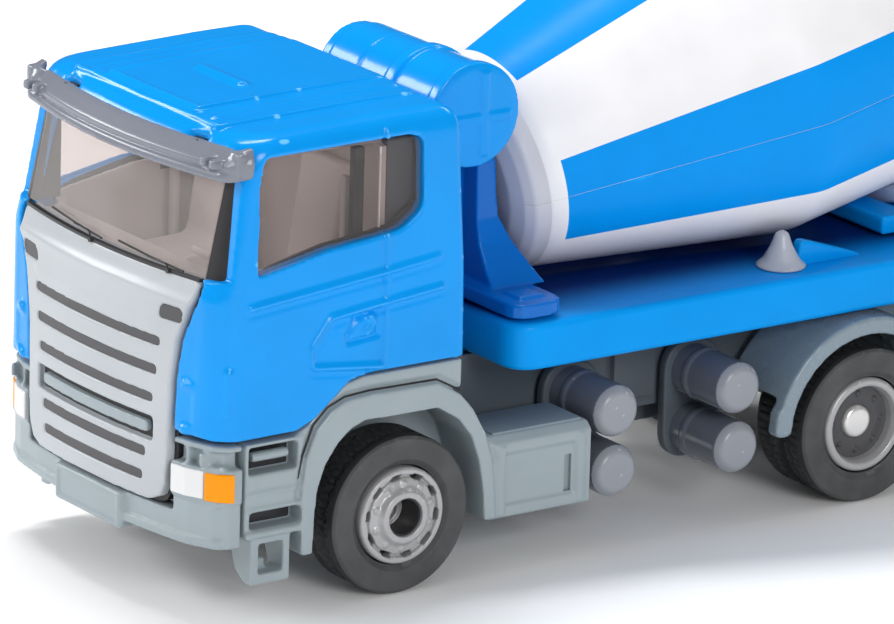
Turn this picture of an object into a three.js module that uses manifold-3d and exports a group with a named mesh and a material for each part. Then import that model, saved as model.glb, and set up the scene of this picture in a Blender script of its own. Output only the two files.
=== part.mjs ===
// Toy cement mixer truck in die-cast metal and plastic, about 1:87.
// Millimetres, +Z up. The cab looks along -Y and the vehicle's left side is +X.
// Truck coordinates: y = 0 is the front axle and z = 0 is the ground under the tyres.
import * as THREE from 'three';
import { mergeVertices } from 'three/addons/utils/BufferGeometryUtils.js';
import Module from 'manifold-3d';

const wasm = await Module();
wasm.setup();

// ---------------------------------------------------------------- driving dimensions
const ORIGIN_SHIFT_Y = -33.75; // puts the middle of the truck's length at y = 0
const TYRE_RADIUS = 6.1;
const REAR_AXLES_Y = [43.4, 58.9];
const AXLE_RADIUS = 0.9;
const BEARING_RADIUS = 0.98;
const ROUND = 32; // sides of a large round piece
const GAP = 0.3; // between pieces that meet

// The cab's outer surface, as plan sections from the sill to the roof.
const CAB_BOW = 0.0083; // the front's curve: y grows by this times x squared
const CAB_LEVELS = [
  { z: 13.6, front: -18.2, half: 14.35, rear: 5.6 },
  { z: 24.6, front: -18.1, half: 14.45, rear: 5.3 },
  { z: 25.9, front: -17.75, half: 14.45, rear: 5.2 },
  { z: 30.5, front: -16.75, half: 14.3, rear: 4.95 },
  { z: 34.6, front: -15.95, half: 14.1, rear: 4.75 },
  { z: 35.7, front: -15.5, half: 13.9, rear: 4.6 },
  { z: 36.35, front: -14.8, half: 13.4, rear: 4.3 },
  { z: 36.65, front: -13.7, half: 12.3, rear: 3.7 },
];
const CAB_WALL = 1.2;

const DECK = { half: 13.5, front: 10.7, rear: 70, bottom: 15.05, top: 18.7 };

// The drum turns about a tilted axis through DRUM_ORIGIN; stations run rearwards along it.
const DRUM_TILT = THREE.MathUtils.degToRad(13.2);
const DRUM_ORIGIN = new THREE.Vector3(0, 18.27, 27.41);
const DRUM_SEAM = THREE.MathUtils.degToRad(-6.5); // where the two half shells meet
const DRUM = {
  headFront: -3.5, headEdge: -2.5, headRadius: 8.0,
  bellyStart: 20.8, bellyEnd: 31.2, bellyRadius: 14.0,
  neckStart: 50.0, neckRadius: 6.3, mouth: 57.0, lipRadius: 6.9, wall: 1.0,
};
const PIN_RADIUS = 1.2;

const CHUTE_PIVOT_Y = 73.2;
const CHUTE_START = new THREE.Vector3(0, 73.6, 31.3);
const CHUTE_SLOPE = THREE.MathUtils.degToRad(-50);
const CHUTE_LENGTH = 16.1;

// ---------------------------------------------------------------- materials
const material = (color, roughness, metalness = 0) =>
  new THREE.MeshStandardMaterial({ color, roughness, metalness });
const BLUE = material(0x0096f0, 0.25);
const GREY = material(0x8c979c, 0.45);
const SILVER = material(0xc9cdd0, 0.35);
const TANK = material(0x85858f, 0.4);
const WHITE = material(0xeeeef0, 0.35);
const RUBBER = material(0x2b2b2c, 0.8);
const HUB = material(0xb4b6b8, 0.4, 0.3);
const STEEL = material(0xc8c8c8, 0.3, 0.9);
const SMOKE = material(0x4a4644, 0.1);
const DARK = material(0x26282a, 0.7);

// ---------------------------------------------------------------- solid helpers
function signedVolume(position, index) {
  const a = new THREE.Vector3();
  const b = new THREE.Vector3();
  const c = new THREE.Vector3();
  let sum = 0;
  for (let i = 0; i < index.length; i += 3) {
    a.fromBufferAttribute(position, index[i]);
    b.fromBufferAttribute(position, index[i + 1]);
    c.fromBufferAttribute(position, index[i + 2]);
    sum += a.dot(b.cross(c));
  }
  return sum;
}

// Turns a closed three.js geometry into a solid, with its faces out.
function solid(geometry) {
  geometry.deleteAttribute('normal');
  geometry.deleteAttribute('uv');
  const merged = mergeVertices(geometry, 1e-4);
  const all = merged.index.array;
  const kept = [];
  for (let i = 0; i < all.length; i += 3) {
    const [a, b, c] = [all[i], all[i + 1], all[i + 2]];
    if (a !== b && b !== c && c !== a) kept.push(a, b, c);
  }
  if (signedVolume(merged.attributes.position, kept) < 0) kept.reverse();
  return new wasm.Manifold(new wasm.Mesh({
    numProp: 3,
    vertProperties: new Float32Array(merged.attributes.position.array),
    triVerts: new Uint32Array(kept),
  }));
}

function meshOf(name, body, look) {
  const result = body.getMesh();
  const geometry = new THREE.BufferGeometry();
  geometry.setAttribute('position', new THREE.Float32BufferAttribute(result.vertProperties, 3));
  geometry.setIndex(new THREE.Uint32BufferAttribute(result.triVerts, 1));
  const mesh = new THREE.Mesh(geometry, look);
  mesh.name = name;
  return mesh;
}

const union = (...bodies) => bodies.reduce((all, body) => all.add(body));
const cut = (body, ...tools) => tools.reduce((left, tool) => left.subtract(tool), body);

const X = new THREE.Vector3(1, 0, 0);
const Y = new THREE.Vector3(0, 1, 0);
const Z = new THREE.Vector3(0, 0, 1);
// An outline's two coordinates are (y, z), (x, z) or (x, y) for a prism along x, y or z.
const PRISM_FRAMES = {
  x: new THREE.Matrix4().makeBasis(Y, Z, X),
  y: new THREE.Matrix4().makeBasis(X, Z, Y.clone().negate()),
  z: new THREE.Matrix4(),
};

function prism(axis, outline, from, to) {
  const shape = new THREE.Shape(outline.map(([a, b]) => new THREE.Vector2(a, b)));
  const geometry = new THREE.ExtrudeGeometry(shape, { depth: to - from, bevelEnabled: false });
  geometry.translate(0, 0, axis === 'y' ? -to : from);
  geometry.applyMatrix4(PRISM_FRAMES[axis]);
  return solid(geometry);
}

function block([x0, x1], [y0, y1], [z0, z1]) {
  const geometry = new THREE.BoxGeometry(x1 - x0, y1 - y0, z1 - z0);
  geometry.translate((x0 + x1) / 2, (y0 + y1) / 2, (z0 + z1) / 2);
  return solid(geometry);
}

// A block and its mirror image on the truck's other side.
const blocks = ([x0, x1], y, z) => union(block([x0, x1], y, z), block([-x1, -x0], y, z));

// Points along an arc, angles in degrees.
function arc(centreA, centreB, radius, fromDeg, toDeg, steps) {
  return Array.from({ length: steps + 1 }, (_, i) => {
    const angle = THREE.MathUtils.degToRad(fromDeg + ((toDeg - fromDeg) * i) / steps);
    return [centreA + radius * Math.cos(angle), centreB + radius * Math.sin(angle)];
  });
}

function roundedBox(a0, a1, b0, b1, radius, steps = 3) {
  return [
    ...arc(a1 - radius, b0 + radius, radius, -90, 0, steps),
    ...arc(a1 - radius, b1 - radius, radius, 0, 90, steps),
    ...arc(a0 + radius, b1 - radius, radius, 90, 180, steps),
    ...arc(a0 + radius, b0 + radius, radius, 180, 270, steps),
  ];
}

// A solid of revolution along +Y: profile points are [radius, distance along the axis].
function latheGeometry(profile, sides = ROUND) {
  const points = profile.map(([radius, along]) => new THREE.Vector2(radius, along));
  return new THREE.LatheGeometry(points, sides);
}

// The same along +X, which is how wheels, axles and tanks lie.
function turned(profile, y = 0, z = 0, sides = ROUND) {
  const geometry = latheGeometry(profile, sides);
  geometry.rotateZ(-Math.PI / 2);
  geometry.translate(0, y, z);
  return solid(geometry);
}

const rod = (radius, x0, x1, y, z, sides = 20) =>
  turned([[0, x0], [radius, x0], [radius, x1], [0, x1]], y, z, sides);

// A vertical cylinder on the truck's centre plane.
function upright(radius, y, z0, z1) {
  const geometry = new THREE.CylinderGeometry(radius, radius, z1 - z0, 20);
  geometry.rotateX(Math.PI / 2);
  geometry.translate(0, y, (z0 + z1) / 2);
  return solid(geometry);
}

// Skins a list of rings that have the same number of points, and closes both ends.
function loft(rings) {
  const count = rings[0].length;
  const vertices = rings.flat();
  const triangles = [];
  for (let level = 0; level + 1 < rings.length; level += 1) {
    for (let i = 0; i < count; i += 1) {
      const a = level * count + i;
      const b = level * count + ((i + 1) % count);
      triangles.push(a, b, b + count, a, b + count, a + count);
    }
  }
  for (const level of [0, rings.length - 1]) {
    const centre = new THREE.Vector3();
    rings[level].forEach((point) => centre.addScaledVector(point, 1 / count));
    const hub = vertices.push(centre) - 1;
    for (let i = 0; i < count; i += 1) {
      const a = level * count + i;
      const b = level * count + ((i + 1) % count);
      triangles.push(...(level === 0 ? [hub, b, a] : [hub, a, b]));
    }
  }
  const geometry = new THREE.BufferGeometry();
  geometry.setAttribute('position', new THREE.Float32BufferAttribute(
    vertices.flatMap((point) => point.toArray()), 3));
  geometry.setIndex(triangles);
  return solid(geometry);
}

const rectangle = (half, y0, y1, z) => [
  new THREE.Vector3(-half, y0, z), new THREE.Vector3(half, y0, z),
  new THREE.Vector3(half, y1, z), new THREE.Vector3(-half, y1, z),
];

const mirrored = (body) => body.mirror([1, 0, 0]);

// ---------------------------------------------------------------- cab
// One plan section of the cab, moved inwards by inset.
function cabRing({ z, front, half, rear }, inset) {
  const frontRadius = 2.6;
  const rearRadius = 0.8;
  const width = half - inset;
  const flat = width - frontRadius;
  const curve = (x) => front + inset + CAB_BOW * x * x;
  const side = [];
  for (let i = 0; i <= 4; i += 1) side.push([(flat * i) / 4, curve((flat * i) / 4)]);
  side.push(...arc(flat, curve(flat) + frontRadius, frontRadius, -72, 0, 4));
  side.push(...arc(width - rearRadius, rear - inset - rearRadius, rearRadius, 0, 90, 3));
  const other = side.slice(1).reverse().map(([x, y]) => [-x, y]);
  return [...side, ...other].map(([x, y]) => new THREE.Vector3(x, y, z));
}

function cabBody(inset, bottom) {
  const rings = CAB_LEVELS.map((level, i) =>
    cabRing({ ...level, z: i === 0 ? bottom : level.z - inset }, inset));
  return loft(rings);
}

// The sill line on the cab's side, as (y, z), from the rear corner to the front.
const CAB_SILL = [
  [5.6, 17.65], [-3.4, 17.65], [-4.9, 17.3], [-6.2, 16.2], [-8.0, 14.75], [-9.6, 14.1],
  [-14.5, 14.1], [-20, 14.5],
];

const SIDE_WINDOW = [
  [-13.3, 26.4], [-11.7, 26.6], [-9.5, 27.1], [-6.9, 27.6], [-3.0, 27.95], [-0.6, 28.3],
  [0.7, 29.2], [1.3, 31], [1.3, 34.2], [0.9, 34.9], [0.2, 35.15], [-11.9, 35.1], [-12.7, 34.6],
  [-13.05, 33.3],
];
const WINDSCREEN = { half: 13.9, back: -15.2, bottom: 26.15, top: 34.6 };

// The grille panel's outline on the cab's front, as (x, z), grown by margin.
function grilleOutline(margin) {
  const side = [
    [7.4, 8.4 - margin], [8.5, 8.9 - margin], [9.1 + margin, 10], [9.3 + margin, 12.2],
    [9.35 + margin, 14.5], [9.5 + margin, 18], [10.0 + margin, 21.2], [11.0 + margin, 23.6],
    [11.5 + margin, 24.6], [11.7 + margin, 25.75], [11.2, 26.0 + margin],
  ];
  return [...side, ...side.slice().reverse().map(([x, z]) => [-x, z])];
}

function cabShell() {
  const roofPanel = union(
    prism('x', [[-13.4, 35.5], [3.6, 35.5], [3.6, 36.75], [-1, 37.05], [-13.4, 36.8]], -10, 10),
    prism('x', [[-12.9, 35.5], [3.5, 35.5], [3.5, 37], [-1, 37.3], [-12.9, 37.05]], -6.6, 6.6),
    block([-3.3, 3.3], [-7.7, -7.0], [35.5, 37.45]),
  );
  const underSill = prism('x', [...CAB_SILL, [-20, 10], [5.6, 10]], -20, 20);
  const screen = block([-WINDSCREEN.half, WINDSCREEN.half], [-22, WINDSCREEN.back],
    [WINDSCREEN.bottom, WINDSCREEN.top]);
  const visorSlots = blocks([7.5, 9.5], [-17, -14.6], [35.4, 37]);
  const handles = blocks([14.0, 16], [-5.0, -2.5], [20.6, 22.3]);
  return cut(
    union(cabBody(0, 13), roofPanel),
    cabBody(CAB_WALL, 11),
    underSill,
    prism('x', SIDE_WINDOW, -20, 20),
    screen,
    prism('y', grilleOutline(GAP), -22, -14),
    visorSlots,
    handles,
  );
}

function cabGlazing() {
  const liner = cut(cabBody(CAB_WALL + GAP, 11), cabBody(CAB_WALL + GAP + 0.8, 10));
  const linerBand = liner.intersect(block([-20, 20], [-20, 1.9], [24.9, 34.9]));
  const skin = cut(cabBody(0.2, 11), cabBody(CAB_WALL + GAP + 0.4, 10));
  const middle = [-6, 31.2]; // the side pane is the window shrunk towards this point
  const pane = SIDE_WINDOW.map(([y, z]) =>
    [y + Math.sign(middle[0] - y) * GAP, z + Math.sign(middle[1] - z) * GAP]);
  const screen = block([GAP - WINDSCREEN.half, WINDSCREEN.half - GAP],
    [-22, WINDSCREEN.back - GAP], [26.4, WINDSCREEN.top - GAP]);
  return union(linerBand, skin.intersect(prism('x', pane, -20, 20)), skin.intersect(screen));
}

function sunVisor() {
  const half = 15.1;
  const curve = (x, shift) => shift - 17.2 + 0.0095 * x * x;
  const row = (shift) => [-12.6, -9, -5, 0, 5, 9, 12.6].map((x) => [x, curve(x, shift)]);
  const outer = [[-half, -13.6], [0.4 - half, -14.7], ...row(0), [half - 0.4, -14.7], [half, -13.6]];
  const inner = [[half - 0.7, -13.6], [half - 1, -14.3], ...row(0.7).reverse(),
    [1 - half, -14.3], [0.7 - half, -13.6]];
  return prism('z', [...outer, ...inner], 33.5, 35.7);
}

function grillePanel() {
  const xs = [-13, -10, -7, -4, 0, 4, 7, 10, 13];
  const curve = (shift) => xs.map((x) => [x, shift - 18.35 + CAB_BOW * x * x]);
  const strip = prism('z', [...curve(0), ...curve(1.0).reverse()], 8, 27);
  const panel = strip.intersect(prism('y', grilleOutline(0), -22, -14));
  const slotDepth = 0.4;
  const sunk = prism('z', [...curve(-2), ...curve(slotDepth).reverse()], 8, 27);
  const slots = [[20.64, 8.1], [18.4, 7.75], [16.2, 7.3], [11.9, 6.6], [10.05, 6.3]]
    .map(([z, half]) => block([-half, half], [-22, -14], [z - 0.33, z + 0.33]));
  const step = block([-7.3, 7.3], [-22, -14], [13.0, 14.5]);
  const corners = blocks([8.2, 10.5], [-22, -14], [22.55, 23.75]);
  return cut(panel, union(...slots, step, corners).intersect(sunk));
}

function cabInterior() {
  return union(
    block([-12.3, 12.3], [-14.8, 3.5], [17.95, 18.7]),
    block([-11.7, 11.7], [-14.8, -12.6], [18.6, 24.3]),
    block([-2.4, 2.4], [-12.7, 3.0], [18.6, 20.2]),
    blocks([10.9, 11.7], [-4.0, -3.3], [18.6, 32]),
  );
}

function seat(middleX) {
  const side = [[-8.4, 19], [-2.6, 19], [-1.0, 31.2], [-1.5, 32.2], [-2.5, 32.2], [-3.9, 22.4],
    [-8.2, 22.4], [-8.8, 21.6]];
  return prism('x', side, middleX - 2.9, middleX + 2.9);
}

function steeringWheel() {
  const rim = new THREE.TorusGeometry(2.3, 0.32, 6, 20);
  const spokes = new THREE.BoxGeometry(4.5, 0.7, 0.35);
  const hub = new THREE.CylinderGeometry(0.6, 0.6, 1.8, 12);
  hub.rotateX(Math.PI / 2);
  return union(solid(rim), solid(spokes), solid(hub));
}

// ---------------------------------------------------------------- chassis
const CHASSIS = { railInner: 4.6, railOuter: 6.4, bottom: 8, top: 14.7, front: -13, rear: 70.5 };

function chassisFrame() {
  const { railInner, railOuter, bottom, top, front, rear } = CHASSIS;
  const rails = blocks([railInner, railOuter], [front, rear], [bottom, top]);
  const floor = block([-railInner, railInner], [front, rear], [bottom, 9.2]);
  const cabMount = block([-8.6, 8.6], [-13, 4.6], [9, 17.5]);
  const stiffener = blocks([6.2, 7.0], [24.6, 28.4], [9, 13.4]);
  const hangers = [0, ...REAR_AXLES_Y].map((y) =>
    blocks([railInner, railOuter], [y - 2, y + 2], [4.4, bottom + 0.1]));
  const bores = [0, ...REAR_AXLES_Y].map((y) => rod(BEARING_RADIUS, -9, 9, y, TYRE_RADIUS));
  const archClearance = prism('x', arc(0, TYRE_RADIUS, 7.2, 0, 180, 16), -20, 20);
  const sides = cut(cabMount, archClearance.intersect(blocks([7.8, 12], [-13, 5], [5, 18])));
  return cut(union(rails, floor, sides, stiffener, ...hangers), ...bores);
}

const RIVETS_Y = [15, 33];

function basePlate() {
  const plate = block([-4.2, 4.2], [12, 36], [6.0, 7.7]);
  const sinks = RIVETS_Y.map((y) => upright(1.3, y, 5, 9));
  return cut(plate, ...sinks);
}

const rivet = (y) => upright(1.2, y, 6.4, 7.6);

function frontBumper() {
  const xs = [-11.4, -8, -4, 0, 4, 8, 11.4];
  const curve = (shift) => xs.map((x) => [x, shift - 18.05 + CAB_BOW * x * x]);
  const outer = (grow) => [[-14.2 - grow, -14.2], [-14.2 - grow, -15.3], [-13.4 - grow, -16.2],
    ...curve(-grow), [13.4 + grow, -16.2], [14.2 + grow, -15.3], [14.2 + grow, -14.2]];
  const inner = [[12.8, -14.2], [12.8, -15.1], ...curve(1.6).reverse(), [-12.8, -15.1],
    [-12.8, -14.2]];
  const shell = prism('z', [...outer(0), ...inner], 5.9, 13.75);
  const lampBand = prism('z', [...outer(0.2), ...inner], 9.4, 12.0);
  const towBox = block([-4.4, 4.4], [-18.3, -16.5], [5.3, 8.05]);
  const recess = prism('z', [...outer(1), ...outer(-0.8).reverse()], 12.0, 13.3);
  const grilleRoom = block([-9.7, 9.7], [-22, -14], [8.1, 15]);
  return cut(union(shell, lampBand, towBox), grilleRoom, recess);
}

// Wheel arch, entry steps and battery box: one moulding on each side.
function sideFairing() {
  const outerArch = [[-8.95, 4.5], [-9.05, 8.9], [-8.7, 11.8], [-7.8, 14.0], [-6.6, 15.2],
    [-5.2, 15.85], [-3.0, 16.0], [3.0, 15.9], [5.0, 14.75], [6.2, 13.4], [7.4, 11.3],
    [8.1, 9.0], [8.55, 4.5]];
  const innerArch = [[7.5, 4.5], [7.3, 7.0], [6.85, 9.3], [6.1, 11.3], [4.9, 12.8],
    [3.0, 14.0], [-3.6, 14.05], [-4.8, 13.6], [-5.9, 12.7], [-7.0, 11.2], [-7.65, 9.4],
    [-7.9, 7.1], [-7.95, 4.5]];
  const arch = prism('x', [...outerArch, ...innerArch], 9.3, 14.5);
  const innerWall = prism('x', [[-8.6, 7.5], [8, 7.5], [5, 15.2], [-5.5, 15.2]], 8.9, 9.5);
  const sill = prism('x', [[5.3, 15.2], [5.3, 17.35], [-3.5, 17.35], [-5.05, 17.0],
    [-6.4, 15.9], [-8.2, 14.4], [-9.4, 13.8], [-8.4, 12.2], [-6.4, 14.8], [-3, 15.4]], 9.3, 14.1);
  const stepBlock = block([9.6, 14.2], [-13.9, -8.8], [6.4, 13.7]);
  const upperRecess = block([12.7, 16], [-13.6, -9.3], [11.3, 13.4]);
  const lowerRecess = block([12.7, 16], [-13.4, -9.0], [7.1, 8.4]);
  const stepFront = [[11.5, 6.6], [11.5, 5.1], [12.1, 3.6], [13.3, 2.85], [14.2, 2.85], [14.2, 6.6]];
  const stepLoop = cut(prism('y', stepFront, -13.3, -9.8),
    block([11, 16], [-12.6, -10.4], [3.6, 5.9]));
  const boxSection = [[8.7, 4.3], [14.2, 4.3], [14.2, 10.1], [13.5, 10.65], [8.7, 10.65]];
  const box = prism('y', boxSection, 8.0, 17.3);
  const boxPanel = block([14.0, 16], [9.2, 15.9], [5.2, 9.3]);
  return cut(
    union(arch, innerWall, sill, cut(stepBlock, upperRecess, lowerRecess), stepLoop, box),
    boxPanel,
  );
}

// Two transverse air tanks, one above the other, on a bracket.
function airTanks(y) {
  const profile = [[0, 7.6], [2.0, 7.6], [2.0, 13.2], [1.4, 13.85], [0, 14.05]];
  const bracket = prism('x', roundedBox(y - 2.5, y + 2.5, 3.9, 13.1, 2.2), 6.75, 7.7);
  return union(bracket, turned(profile, y, 10.75, 20), turned(profile, y, 6.05, 20));
}

function rearFender() {
  const ring = (outer, inner, x0, x1) => {
    const whole = REAR_AXLES_Y.map((y) =>
      prism('x', arc(y, TYRE_RADIUS, outer, 0, 360, ROUND).slice(0, -1), x0, x1));
    const hollow = REAR_AXLES_Y.map((y) =>
      prism('x', arc(y, TYRE_RADIUS, inner, 0, 360, ROUND).slice(0, -1), x0 - 1, x1 + 1));
    return cut(union(...whole), ...hollow);
  };
  const top = ring(8.65, 7.75, 7.3, 13.8).intersect(block([0, 20], [30, 72], [9.3, 20]));
  const lip = ring(8.65, 7.3, 13.2, 14.4).intersect(block([0, 20], [30, 72], [6.6, 20]));
  const web = block([6.6, 7.6], [46, 56.5], [11.2, 14.3]);
  return union(top, lip, web);
}

function rearBumper() {
  const bar = block([-12.8, 12.8], [71.0, 72.6], [5.8, 9.4]);
  const arms = blocks([4.6, 6.4], [70.8, 71.4], [9.2, 13]);
  return union(bar, arms);
}

// ---------------------------------------------------------------- deck and superstructure
// The drum's outside as [radius, station], grown by clearance.
function drumProfile(clearance) {
  const c = clearance;
  return [
    [0, DRUM.headFront - c], [5.6 + c, DRUM.headFront + 0.2 - c], [7.3 + c, -3.0 - c],
    [DRUM.headRadius + c, DRUM.headEdge], [DRUM.bellyRadius + c, DRUM.bellyStart],
    [DRUM.bellyRadius + c, DRUM.bellyEnd], [13.6 + c, 33.2],
    [DRUM.neckRadius + c, DRUM.neckStart], [DRUM.neckRadius + c, DRUM.mouth - 0.8],
    [DRUM.lipRadius + c, DRUM.mouth - 0.6], [DRUM.lipRadius + c, DRUM.mouth],
    [0, DRUM.mouth + c],
  ];
}

// The space that the turning drum sweeps, in truck coordinates.
function drumSpace(clearance) {
  const ringSpace = [[0, 30.9], [15.7 + clearance, 30.9], [15.7 + clearance, 33.4], [0, 33.4]];
  return union(...[drumProfile(clearance), ringSpace].map((profile) => {
    const geometry = latheGeometry(profile);
    geometry.rotateX(DRUM_TILT);
    geometry.translate(...DRUM_ORIGIN.toArray());
    return solid(geometry);
  }));
}

function mixerDeck() {
  const { half, front, rear, bottom, top } = DECK;
  const slab = prism('z', roundedBox(-half, half, front, rear, 2.4, 4), bottom, top);
  const fin = prism('x', [[35.4, top - 0.2], [37.6, 21.2], [46, top - 0.2]], 9.6, 11.0);
  return cut(union(slab, fin, mirrored(fin)), drumSpace(0.9));
}

function drumTower() {
  const foot = prism('z', roundedBox(-12.9, 12.9, 10.95, 15.6, 1.4), DECK.top + GAP, 20.1);
  const side = [[12.1, 20], [12.1, 29.5], [13.8, 29.5], [14.1, 25], [15.2, 22.9], [16.9, 20]];
  const front = [[-8.3, 20], [8.3, 20], [7.3, 21.3], [6.3, 23.1], [5.9, 25], [5.8, 29.5],
    [-5.8, 29.5], [-5.9, 25], [-6.3, 23.1], [-7.3, 21.3]];
  const column = prism('x', side, -15, 15).intersect(prism('y', front, 5, 25));
  return cut(union(foot, column), drumSpace(0.25));
}

function waterTank() {
  const band = (x0, x1, radius) => [[radius, x0], [radius, x1]];
  const profile = [[0, -6.6], ...band(-6.6, -5.6, 3.6), ...band(-5.4, 2.0, 3.75),
    ...band(2.1, 3.2, 4.0), ...band(3.3, 7.8, 3.75), ...band(7.9, 8.9, 4.0), [0, 8.9]];
  const ribs = union(block([8.8, 9.2], [9.9, 10.6], [31, 37]), block([8.8, 9.2], [6.4, 12.4],
    [33.6, 34.2]));
  const tank = turned(profile, 9.5, 34.15).add(ribs);
  return cut(tank, drumSpace(0.25));
}

function drumPin() {
  const geometry = latheGeometry([[0, -4.1], [PIN_RADIUS, -4.1], [PIN_RADIUS, -1.4], [0, -1.4]], 24);
  return solid(geometry);
}

function drumHalf(upper) {
  const outside = drumProfile(0);
  outside[0] = [PIN_RADIUS + 0.08, DRUM.headFront];
  outside.pop();
  const w = DRUM.wall;
  const inside = [
    [5.3, DRUM.mouth], [5.3, DRUM.neckStart + 0.4], [13.6 - w, 33.0],
    [DRUM.bellyRadius - w, DRUM.bellyEnd - 0.2], [DRUM.bellyRadius - w, DRUM.bellyStart + 0.2],
    [DRUM.headRadius - w, -1.8], [PIN_RADIUS + 0.08, -2.3],
  ];
  const profile = [...outside, ...inside, outside[0]];
  const halfSpace = new THREE.BoxGeometry(60, 120, 40);
  const seamGap = 0.1;
  halfSpace.translate(0, 20, (20 + seamGap) * (upper ? 1 : -1));
  halfSpace.rotateY(-DRUM_SEAM);
  return solid(latheGeometry(profile, 40)).intersect(solid(halfSpace));
}

function drumRing() {
  const profile = [[14.15, 31.2], [15.6, 31.4], [15.6, 32.8], [14.15, 33.0], [14.15, 31.2]];
  return solid(latheGeometry(profile, 40));
}

// Pedestal, side frames and saddle that hold the drum's rear end.
function drumCradle() {
  const base = block([-8.4, 8.4], [48.8, 69.6], [DECK.top + GAP, 20.4]);
  const frame = [[57, 20], [69.6, 20], [69.6, 42], [67.8, 42], [66.4, 36], [62, 31]];
  const frames = union(prism('x', frame, 7.0, 8.4), prism('x', frame, -8.4, -7.0));
  const saddle = block([-7.2, 7.2], [61.2, 63.2], [20, 36]);
  const rearPlate = block([-7.2, 7.2], [68.2, 69.6], [20, 31]);
  const chuteArm = block([-2.2, 2.2], [69.4, 75.2], [23.6, 24.8]);
  return cut(union(base, frames, saddle, rearPlate, chuteArm), drumSpace(0.25));
}

function loadingHopper() {
  const outer = loft([rectangle(2.9, 72.3, 75.4, 41.0), rectangle(3.2, 74.0, 78.6, 44.0),
    rectangle(6.6, 73.2, 82.4, 49.4)]);
  const inner = loft([rectangle(2.2, 73.0, 74.7, 40.8), rectangle(2.5, 74.7, 77.9, 44.0),
    rectangle(5.9, 73.9, 81.7, 49.6)]);
  const lugs = blocks([7.4, 8.4], [67.9, 75.8], [42.3, 45.4]);
  const cross = blocks([3.0, 7.6], [74.4, 75.8], [43.7, 45.4]);
  return cut(union(outer, lugs, cross), inner);
}

function accessLadder() {
  const rails = union(block([9.0, 9.8], [62.4, 63.2], [19, 42]),
    block([9.0, 9.8], [67.6, 68.4], [19, 42]));
  const rungs = [22, 26, 30, 34, 38].map((z) => block([9.1, 9.7], [63, 67.8], [z, z + 0.7]));
  return union(rails, ...rungs);
}

// ---------------------------------------------------------------- chute
function chutePin() {
  return upright(0.9, CHUTE_PIVOT_Y, 25.1, 28.0);
}

// A swivel block on the pin; its sloping top carries the channel.
function chuteBracket() {
  const wedge = prism('x', [[72.2, 26.4], [76.28, 26.4], [76.28, 27.02], [73.06, 30.85],
    [72.2, 30.85]], -2.2, 2.2);
  return cut(union(upright(1.9, CHUTE_PIVOT_Y, 25.2, 28), wedge),
    upright(0.96, CHUTE_PIVOT_Y, 24, 28.4));
}

// An open channel that runs along its own +Y, drawn level.
function chuteTrough() {
  const section = [[-3.6, 3.2], [-3.6, 0.9], [-2.5, -0.4], [2.5, -0.4], [3.6, 0.9], [3.6, 3.2],
    [2.9, 3.2], [2.9, 1.2], [2.2, 0.4], [-2.2, 0.4], [-2.9, 1.2], [-2.9, 3.2]];
  return prism('y', section, 0, CHUTE_LENGTH);
}

// ---------------------------------------------------------------- wheels
const FRONT_TYRE = { inner: 9.9, outer: 14.3 };
const REAR_TYRE = { inner: 7.9, outer: 14.3 };
const SEAT_RADIUS = 3.8;

function tyre({ inner, outer }, twin) {
  const middle = (inner + outer) / 2;
  const groove = twin
    ? [[TYRE_RADIUS, middle - 0.5], [5.2, middle], [TYRE_RADIUS, middle + 0.5]]
    : [];
  return turned([
    [SEAT_RADIUS, inner], [TYRE_RADIUS, inner], ...groove, [TYRE_RADIUS, outer - 0.4],
    [5.8, outer], [SEAT_RADIUS, outer - 0.3], [SEAT_RADIUS, inner],
  ]);
}

function frontHub() {
  return turned([
    [1.0, 9.9], [3.7, 9.9], [3.7, 14.3], [3.3, 14.5], [2.9, 14.2], [2.3, 14.35], [1.95, 14.95],
    [1.45, 14.95], [1.45, 12.6], [1.0, 12.6], [1.0, 9.9],
  ], 0, 0, 20);
}

function rearHub() {
  return turned([
    [1.0, 7.9], [3.7, 7.9], [3.7, 14.0], [3.4, 14.1], [2.9, 13.8], [2.7, 12.3], [1.9, 12.2],
    [1.7, 12.9], [1.0, 12.9], [1.0, 7.9],
  ], 0, 0, 20);
}

// ---------------------------------------------------------------- assembly
const truck = new THREE.Group();
truck.position.y = ORIGIN_SHIFT_Y;

const add = (name, body, look, parent = truck) => {
  const mesh = meshOf(name, body, look);
  parent.add(mesh);
  return mesh;
};

function addPair(name, body, look) {
  add(`${name}_left`, body, look);
  add(`${name}_right`, mirrored(body), look);
}

function addCab() {
  add('cab_shell', cabShell(), BLUE);
  add('cab_glazing', cabGlazing(), SMOKE);
  add('sun_visor', sunVisor(), SILVER);
  add('grille_panel', grillePanel(), SILVER);
  add('cab_interior', cabInterior(), DARK);
  add('seat_left', seat(6.6), DARK);
  add('seat_right', seat(-6.6), DARK);
  const wheel = add('steering_wheel', steeringWheel(), DARK);
  wheel.position.set(6.6, -11.1, 25.4);
  wheel.rotation.x = THREE.MathUtils.degToRad(-25);
}

function addChassis() {
  add('chassis_frame', chassisFrame(), GREY);
  add('base_plate', basePlate(), GREY);
  RIVETS_Y.forEach((y, i) => add(`rivet_${i + 1}`, rivet(y), STEEL));
  add('front_bumper', frontBumper(), GREY);
  add('rear_bumper', rearBumper(), GREY);
  addPair('side_fairing', sideFairing(), GREY);
  addPair('rear_fender', rearFender(), GREY);
  addPair('air_tanks_front', airTanks(20.05), TANK);
  addPair('air_tanks_rear', airTanks(31.5), TANK);
}

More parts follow.
